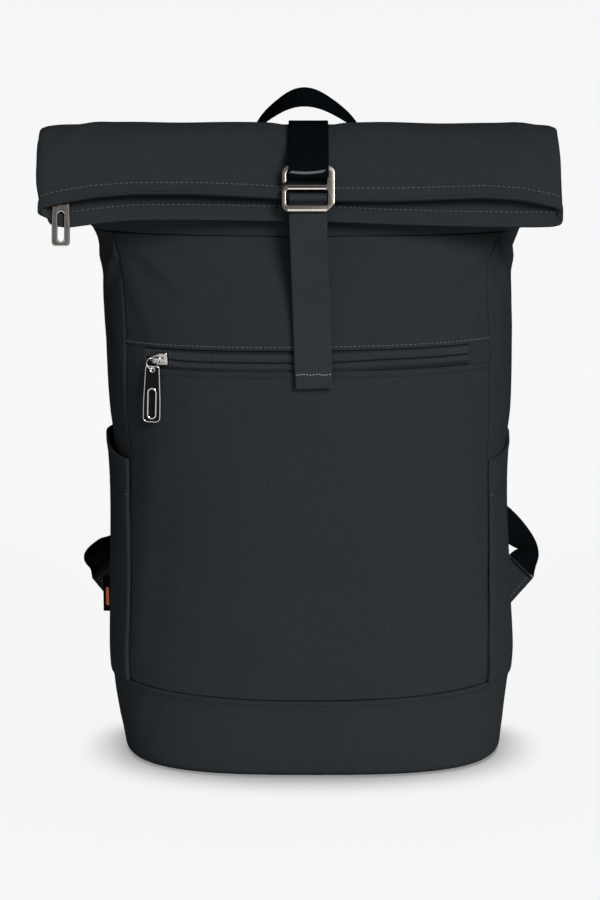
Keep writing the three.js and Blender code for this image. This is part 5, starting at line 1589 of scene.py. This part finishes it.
def on_slider(local, rotation=np.eye(3)):
    """A placing matrix for a piece of the slider, from its place in the slider's own frame."""
    axes = np.stack([across_axis, up_axis, out_axis], axis=1)
    return frame_matrix(*(axes @ rotation).T, on + axes @ np.asarray(local, float))


l, w = SLIDER_LONG / 2, SLIDER_WIDE / 2
plate = rounded([(-l, -w * 0.55, 1.2), (-l * 0.2, -w, 2.0), (l, -w, 1.0), (l, w, 1.0), (-l * 0.2, w, 2.0),
                 (-l, w * 0.55, 1.2)])
curve_piece("slider_plate", [plate], *BRIGHT_LOOK, SLIDER_HIGH, 0.7,
            place=on_slider((0, 0, SLIDER_HIGH / 2)), stands_for=["front_zip_slider"])
bridge = rounded([(-l * 0.85, 0, 0.2), (-l * 0.85, 3.0, 1.2), (l * 0.35, 3.4, 1.2), (l * 0.75, 0, 0.4),
                  (l * 0.35, 0, 0.2), (l * 0.2, 1.9, 0.6), (-l * 0.5, 1.7, 0.6), (-l * 0.55, 0, 0.2)])
on_edge = np.array([[1, 0, 0], [0, 0, -1], [0, 1, 0]])
curve_piece("slider_bridge", [bridge], *BRIGHT_LOOK, 2.2, 0.5,
            place=on_slider((0, 0, SLIDER_HIGH - 0.1), on_edge))
for k, side in enumerate((-1, 1)):
    near, far = side * (w - 1.9), side * (w - 0.5)
    wing = rounded([(-l * 0.1, near, 0.5), (l * 0.9, near, 0.5), (l * 0.9, far, 0.5), (-l * 0.1, far, 0.5)])
    curve_piece(f"slider_wing_{k}", [wing], *BRIGHT_LOOK, 1.2, 0.35,
                place=on_slider((0, 0, SLIDER_HIGH + 0.1)))
ring_middle = np.array([-SLIDER_LONG * 0.24, -RING_RADIUS / 2 - 0.8, SLIDER_HIGH + 3.6])
circle = [(RING_RADIUS * math.cos(a), RING_RADIUS * math.sin(a), 0) for a in
          np.linspace(0, 2 * np.pi, 48, endpoint=False)]
RING_TURN, PULL_TURN, PULL_HANG = 0.75, 0.4, -0.09
curve_piece("pull_ring", [circle], *BRIGHT_LOOK, bevel=RING_WIRE, flat=False,
            place=on_slider(ring_middle, turn_about(1, RING_TURN)), stands_for=["front_zip_ring"])
hanging = turn_about(1, PULL_TURN) @ turn_about(2, PULL_HANG) @ turn_about(0, 0.1)
add_pull("front_pull", on_slider(ring_middle + (0, -RING_RADIUS - 0.3, 0), hanging), dark_metal, bright_metal,
         "bright_metal", ["front_zip_pull"])

MOUTH_PULL_INSET = 17.5
hang = turn_about(0, math.pi / 2 - 0.25)
mouth_pull_place = (ROLL_SHIFT - ROLL_HALF_WIDTH + MOUTH_PULL_INSET, lip_outer[0] + CLOTH + 5.2, lip_outer[1] + 5)
add_pull("mouth_pull_plate", frame_matrix(*hang.T, mouth_pull_place), gunmetal, bright_metal, "bright_metal",
         ["mouth_pull"])

# %% [markdown]
# The haul loop is a strip of the black webbing. Its ends lie flat against the back seam, and then it turns
# on edge and arches over the roll, wide enough for four fingers.

# %% The haul loop
HAUL_SPREAD, HAUL_RISE, HAUL_LEAN = 38.0, 14.0, 36.0
haul_root = NECK_BACK + 2 * GAP + WEBBING / 2
haul_foot = NECK_HEIGHT + 4
haul_high = NECK_HEIGHT + ROLL_RISE + HAUL_RISE - haul_foot
HAUL_ROWS = [
    # share across, y, share up, width direction
    (1.06, haul_root, 0, 1, 0.1, 0), (1.08, haul_root + 3.4, 0.2, 0.86, 0.5, 0),
    (1.08, haul_root + 4.5, 0.45, 0.45, 0.88, 0.05), (0.98, haul_root - 2, 0.72, 0.12, 0.96, 0.2),
    (0.46, (haul_root + HAUL_LEAN) / 2 - 6, 0.93, 0.02, 0.91, 0.36), (0, HAUL_LEAN, 1, 0, 0.883, 0.469),
]


def haul_row(row, side):
    across, y, up, wx, wy, wz = row
    return (side * HAUL_SPREAD * across - 3.0 * up**3, y, haul_foot + haul_high * up, -side * wx, wy, wz)


haul = [haul_row(row, -1) for row in HAUL_ROWS] + [haul_row(row, 1) for row in HAUL_ROWS[-2::-1]]


def through_rows(rows, count):
    """Stations through a table's rows, evenly spaced in the table as the source spaces them."""
    rows = np.asarray(rows, float)
    keys = np.linspace(0, 1, len(rows))
    places = np.linspace(0, 1, count)
    return np.stack([curve_through(keys, rows[:, k], places) for k in range(rows.shape[1])], axis=1)


haul = through_rows(haul, 130)
carried("haul_loop_webbing", haul[:, :3], haul[:, 3:6], strap_section(WEBBING_WIDTH, WEBBING), black_webbing,
        ["haul_loop"], relief=webbing_ribs)

# %% [markdown]
# A shoulder strap is foam in a cloth cover: fat in the middle, thin at its bound edges, and curved to the
# chest. Its section is a crowned ring. A row of stitches runs along each edge, and the outer face has two
# bars of webbing sewn across it. The table gives its course down the back, from the top seam to the lock at
# its lower end.

# %% The shoulder straps
PAD_START, PAD_TOP_WIDE, PAD_LOW_WIDE, PAD_THICK = 52.0, 58.0, 44.0, 9.0
PAD_END_HEIGHT, PAD_END_PLACE, PAD_STAND_OFF = 186.0, 106.0, 26.0
PAD_SEAM, PAD_BARS_AT = 20.0, (34, 56)
PAD_ROWS = [
    # share outwards, share out, share down, width direction z, share of width change
    (0, 0, 0, 0, 0), (0, 0.08, 0.07, 0, 0.05), (0.02, 0.6, 0.22, 0.02, 0.2), (0.1, 1, 0.42, 0.1, 0.4),
    (0.32, 0.93, 0.62, 0.28, 0.6), (0.65, 0.6, 0.82, 0.5, 0.8), (1, 0.34, 1, 0.62, 1),
]
pad_top = NECK_HEIGHT - 4
pad_clear = NECK_BACK + GAP + PAD_THICK / 2


def pad_rows(side):
    made = []
    for share, out, down, wz, taper in PAD_ROWS:
        made.append((side * (PAD_START + (PAD_END_PLACE - PAD_START) * share), pad_clear + PAD_STAND_OFF * out,
                     pad_top - (pad_top - PAD_END_HEIGHT) * down, side, 0, wz,
                     PAD_TOP_WIDE + (PAD_LOW_WIDE - PAD_TOP_WIDE) * taper))
    return made


def pad_section(width, thick, count=56):
    """A cushion's section: crowned between thin edges."""
    angles = np.linspace(0, 2 * np.pi, count, endpoint=False)
    across = np.sign(np.cos(angles)) * np.abs(np.cos(angles)) ** 0.55 * width / 2
    share = np.abs(across) / (width / 2)
    crown = 0.30 + 0.70 * (1 - share**3.2) ** 0.8
    edge = np.sign(np.sin(angles)) * np.abs(np.sin(angles)) ** 0.5
    return np.stack([across, edge * crown * thick / 2], axis=1)


def pad_height(x, width):
    """How high the cushion's face is over its middle plane, x mm from the middle of its width."""
    share = np.minimum(np.abs(x) / (width / 2), 0.999)
    return (0.30 + 0.70 * (1 - share**3.2) ** 0.8) * (1 - share ** (2 / 0.55)) ** 0.25 * PAD_THICK / 2


def pad_relief(x, run):
    """Ripples where the foam bends, and a stitched groove near each edge."""
    return 0.25 * np.sin(run / 9.0) * np.sin(run / 23.0 + 0.8) - 0.7 * bell((PAD_SEAM - np.abs(x)) / 1.1)


pad_ends = {}
for side, name in ((-1, "left"), (1, "right")):
    rows = pad_rows(side)
    stations = through_rows(rows, 90)
    run_share = np.linspace(0, 1, len(stations))
    taper = np.minimum(1, 0.55 + 0.45 * np.minimum(run_share, 1 - run_share) / 0.03)
    sections = np.array([pad_section(width, PAD_THICK * t) for width, t in zip(stations[:, 6], taper)])
    pad = carried(f"shoulder_pad_{name}", stations[:, :3], stations[:, 3:6], sections, cloth_finish,
                  [f"shoulder_strap_{name}"], crease=50, relief=pad_relief)
    pad_ends[name] = rows
    middles = stations[:, :3]
    run, wide, out = station_axes(middles, stations[:, 3:6])
    out *= np.sign(out[:, 1:2])
    for label, edge in (("inner", -PAD_SEAM), ("outer", PAD_SEAM)):
        line = middles + wide * edge + out * (pad_height(edge, stations[:, 6]) - 0.55)[:, None]
        stitch_row(f"stitches_pad_{label}_{name}", line[4:-3], out[4:-3], pitch=3.3, long=2.5)
    for k, station in enumerate(PAD_BARS_AT):
        reach = np.linspace(-0.5, 0.5, 26) * (stations[station, 6] - 1.5)
        line = middles[station] + wide[station] * reach[:, None] + out[station] * (
            pad_height(reach, stations[station, 6]) + 0.9)[:, None]
        carried(f"pad_bar_{name}_{k}", line, np.tile(run[station], (26, 1)), strap_section(15.0, 1.3),
                black_webbing)
print("pads", list(pad_ends))

# %% [markdown]
# Below each pad, the webbing comes out of a ladder lock, bulges round the corner of the bag and is sewn
# into a cloth wing at the back seam. Only the bulge and the wing show from the front.

# %% Lock, lower webbing and wing
LOCK_LONG, LOCK_WIDE, LOCK_THICK = 20.0, 32.0, 4.0
BULGE, BULGE_HEIGHT, WEBBING_LEAD, LEFT_TIGHTER, LEFT_LOWER, WING_TUCK = 25.0, 121.0, 12.0, 6.5, 0.36, 2.2
WING_HEIGHT, WING_ROOT, WING_THICK, WING_LIFT, WING_INSET, WING_LEAN = 96.0, 52.0, 2.0, 2.8, 12.0, 0.4
BULGE_ROWS = [
    # outward, behind, above, width direction
    (-0.04, 0.68, 1.08, 0.7, 0.4, 0.55), (0.64, 0.64, 0.52, 0.5, 0.8, 0.35),
    (0.9, 0.44, 0.12, 0.5, 0.8, -0.2), (0.62, 0.208, -0.22, 0.7, 0, -0.7),
]
lock_plastic = Finish("lock_plastic", Roughness=0.42, Specular_IOR_Level=0.5)
mottle = lock_plastic.noise(lock_plastic.place(), 1600, 3)
lock_plastic.set(Base_Color=lock_plastic.mix(mottle, hue(12, 13, 14), hue(20, 21, 23)))
lock_plastic.set(Roughness=0.36 + 0.14 * mottle, Normal=lock_plastic.bump(mottle, 0.00003))


def add_lock(name, side, end, run, across):
    """A ladder lock: a moulded frame with three slots, and three round bars that grip the webbing."""
    x_axis = -side * across
    z_axis = np.cross(x_axis, -run)
    middle = end + run * (GAP + LOCK_LONG / 2)
    place = frame_matrix(x_axis, -run, z_axis, middle)
    w, l = LOCK_WIDE / 2, LOCK_LONG / 2
    plate = rounded([(-w + 1.5, l, 2.0), (-w, 0, 8.0), (-w + 1.0, -l, 3.0), (w - 1.0, -l, 3.0), (w, 0, 8.0),
                     (w - 1.5, l, 2.0)])
    slots = [rounded([(-13.2, high, 0.8), (13.2, high, 0.8), (13.2, low, 0.8), (-13.2, low, 0.8)])
             for high, low in ((l - 2.4, l - 5.4), (1.4, -1.4), (-l + 6.0, -l + 2.6))]
    curve_piece(f"lock_frame_{name}", [plate, *slots], lock_plastic.material, "black_plastic",
                LOCK_THICK * 0.72, 0.6, place=place, stands_for=[f"strap_lock_{name}"])
    for k, up in enumerate((l - 6.4, -2.9, -l + 1.3)):
        bar = [(-12.6, up, LOCK_THICK * 0.26), (12.6, up, LOCK_THICK * 0.26)]
        curve_piece(f"lock_bar_{name}_{k}", [bar], lock_plastic.material, "black_plastic", bevel=1.15, flat=False,
                    closed=False, place=place)


def bulge_point(side, row, seam):
    """The left webbing is pulled tighter than the right one, so its bulge stays nearer to the bag."""
    reach, above = BULGE * row[0], BULGE * row[2]
    if side < 0:
        reach, above = reach - LEFT_TIGHTER, above * (LEFT_LOWER if above > 0 else 1)
    return np.array([side * (BAG_HALF_WIDTH + reach), seam[1] + BULGE * row[1], BULGE_HEIGHT + above])


def add_wing(name, side, root, tip):
    """The wing's front face is a grid from the back seam out to the webbing, hemmed along both slopes."""
    u, v = np.linspace(0, 1, 26)[:, None], grid_lines(40, 1.6, (1.0, 1.0))[None, :]
    middle = root + (tip - root) * u[..., None]
    across = blend(np.array([0, 0, WING_ROOT]), unit((-side, 0, 1)) * WEBBING_WIDTH, u[..., None])
    grid = middle + across * (v[..., None] - 0.5) + np.array([0, -WING_THICK / 2, 0])
    v_run = running_length(grid, 1)
    to_edge = np.minimum(v_run, v_run[:, -1:] - v_run)
    relief = 0.3 * bell((to_edge - 1.4) / 1.6) + groove(to_edge - 4.0, grid[..., 2], 0.3) + ripples(
        grid[..., 0] * 2, grid[..., 2] * 2, 0.3, 7.0)
    if side < 0:
        grid, relief, to_edge = grid[::-1], relief[::-1], to_edge[::-1]
    _, outer, normals = cloth_sheet(f"wing_cloth_{name}", grid, *CLOTH_LOOK, thickness=WING_THICK,
                                       edges=(0.6, 0.6, 0.9, 0.9), relief=relief, stands_for=[f"strap_wing_{name}"])
    half = to_edge.shape[1] // 2
    for label, part in (("low", slice(0, half)), ("high", slice(None, half - 1, -1))):
        line, facing = surface_line(outer[:, part], normals[:, part], to_edge[:, part], 4.0)
        stitch_row(f"stitches_wing_{label}_{name}", line[1:-1], facing[1:-1], pitch=2.8, long=2.1)


wings = {}
for side, name in ((-1, "left"), (1, "right")):
    rows = pad_ends[name]
    end, before = np.array(rows[-1][:3]), np.array(rows[-2][:3])
    run = unit(end - before)
    across = np.array(rows[-1][3:6])
    across = unit(across - run * (across @ run))
    add_lock(name, side, end, run, across)
    lock_end = end + run * (4 * GAP + LOCK_LONG)
    seam = body_point(seam_turn(side, WING_HEIGHT, True), WING_HEIGHT)
    webbing_rows = [(*(lock_end - run * 9.0), *across), (*lock_end, *across),
                    (*(lock_end + run * WEBBING_LEAD), *across)]
    webbing_rows += [(*bulge_point(side, row, seam), side * row[3], row[4], row[5]) for row in BULGE_ROWS]
    course = through_rows(webbing_rows, 90)
    carried(f"strap_webbing_cloth_{name}", course[:, :3], course[:, 3:6], strap_section(WEBBING_WIDTH, WEBBING),
            black_webbing, [f"strap_webbing_{name}"], relief=webbing_ribs)
    outward = unit((side, 0, 1))
    tip = bulge_point(side, BULGE_ROWS[-1], seam) + (0, -WING_LEAN, 0) - outward * (2 * GAP + WEBBING)
    root = np.array([side * (abs(seam[0]) + 3), seam[1] + WING_LIFT, WING_HEIGHT - WING_INSET])
    add_wing(name, side, root, tip + outward * WING_TUCK)
    # A bar of close thread holds the webbing on the wing, drawn in the darker thread of painted shade
    ends = [tip + outward * 0.6 + unit((-side, 0, 1)) * WEBBING_WIDTH * share for share in (-0.44, 0.44)]
    bar = np.linspace(*ends, 24) + (0, -WING_THICK / 2 - 0.2, 0)
    ribs(f"tack_wing_{name}", bar, to_front(24), 2.2, pitch=0.62, wide=0.55, high=0.45,
         finish=shaded_thread, slant=1.3)
    wings[name] = (root, tip)
print("lower straps", sorted(wings))

# %% [markdown]
# A folded woven label sticks out of the left back seam. Where the real one carries marks, this one has a
# plain orange bar of satin stitch.

# %% The side label
LABEL_WIDE, LABEL_LONG, LABEL_THICK, LABEL_OUT = 14.0, 26.0, 1.0, 2.4
label_cloth = woven("label_cloth", hue(16, 11, 10), pitch=0.0004, rough=0.6, sheen=0.02, depth=0.00005)
orange_thread = twisted("orange_thread", hue(240, 116, 58), hue(255, 168, 112), 1500, 0.00005, "Z", Roughness=0.5,
                        Sheen_Weight=0.15, Specular_IOR_Level=0.35)
root, tip = wings["left"]
label_x = -(BAG_HALF_WIDTH + LABEL_OUT)
share = (label_x + LABEL_WIDE / 2 - root[0]) / (tip[0] - root[0])
label_y = blend(root[1], tip[1], share) - WING_THICK / 2 - 2 * GAP - LABEL_THICK
label_u, label_v = grid_lines(LABEL_WIDE, 0.8, (0.5, 0.2)), grid_lines(LABEL_LONG, 1.2, (0.4, 0.4))
gx, gz = np.meshgrid(label_u - 0.5, label_v - 0.5, indexing="ij")
label_grid = np.stack([label_x + gx * LABEL_WIDE, np.full(gx.shape, label_y), WING_HEIGHT - 0.5 + gz * LABEL_LONG],
                      axis=-1)
label_relief = 0.12 * np.sin(gz * 9) * (0.5 - gx)
cloth_sheet("side_label_cloth", label_grid, label_cloth, "label", thickness=LABEL_THICK, edges=(0.5, 0, 0.3, 0.3),
            relief=label_relief, stands_for=["side_label"])
BAR_X, BAR_LOW, BAR_HIGH = -147.2, 87.0, 100.5
bar = np.array([(BAR_X, label_y - 0.02, z) for z in np.linspace(BAR_LOW, BAR_HIGH, 20)])
ribs("label_bar", bar, to_front(20), 2.5, pitch=0.55, wide=0.55, high=0.3,
     finish=orange_thread)

# %% [markdown]
# Between the two lips, a little way in, lies the mouth's own zip. It is closed, and its ribs face the
# opening.

# %% The mouth's zip
MOUTH_ZIP_PLACE, MOUTH_ZIP_REACH, MOUTH_ZIP_THICK = 0.8, 0.93, 2.0
outer, inner, widen = roll_guides(np.array(MOUTH_ZIP_PLACE))
span = outer - inner
deep, direction = np.linalg.norm(span), span / np.linalg.norm(span)
reach = np.linspace(-MOUTH_ZIP_REACH, MOUTH_ZIP_REACH, 60)
oval_depth = (1 - np.abs(reach) ** ROLL_FULLNESS) ** (1 / ROLL_FULLNESS)
zip_wide = 2 * (deep / 2 * oval_depth - CLOTH - 4 * GAP)
zip_x = blend(NECK["shift"], ROLL_SHIFT, widen) + reach * blend(NECK["half_width"], ROLL_HALF_WIDTH, widen)
zip_line = np.stack([zip_x, *(np.broadcast_to(c, zip_x.shape) for c in inner + span / 2)], axis=1)
zip_across = np.tile((0.0, *direction), (60, 1))
carried("mouth_zip_tape", zip_line, zip_across, [strap_section(w, MOUTH_ZIP_THICK) for w in zip_wide], tape_finish,
        ["mouth_zip"])
facing = np.tile((0.0, -direction[1], direction[0]), (60, 1))
ribs("mouth_zip_ribs", zip_line + facing * MOUTH_ZIP_THICK / 2, facing, 5.2, high=0.55)
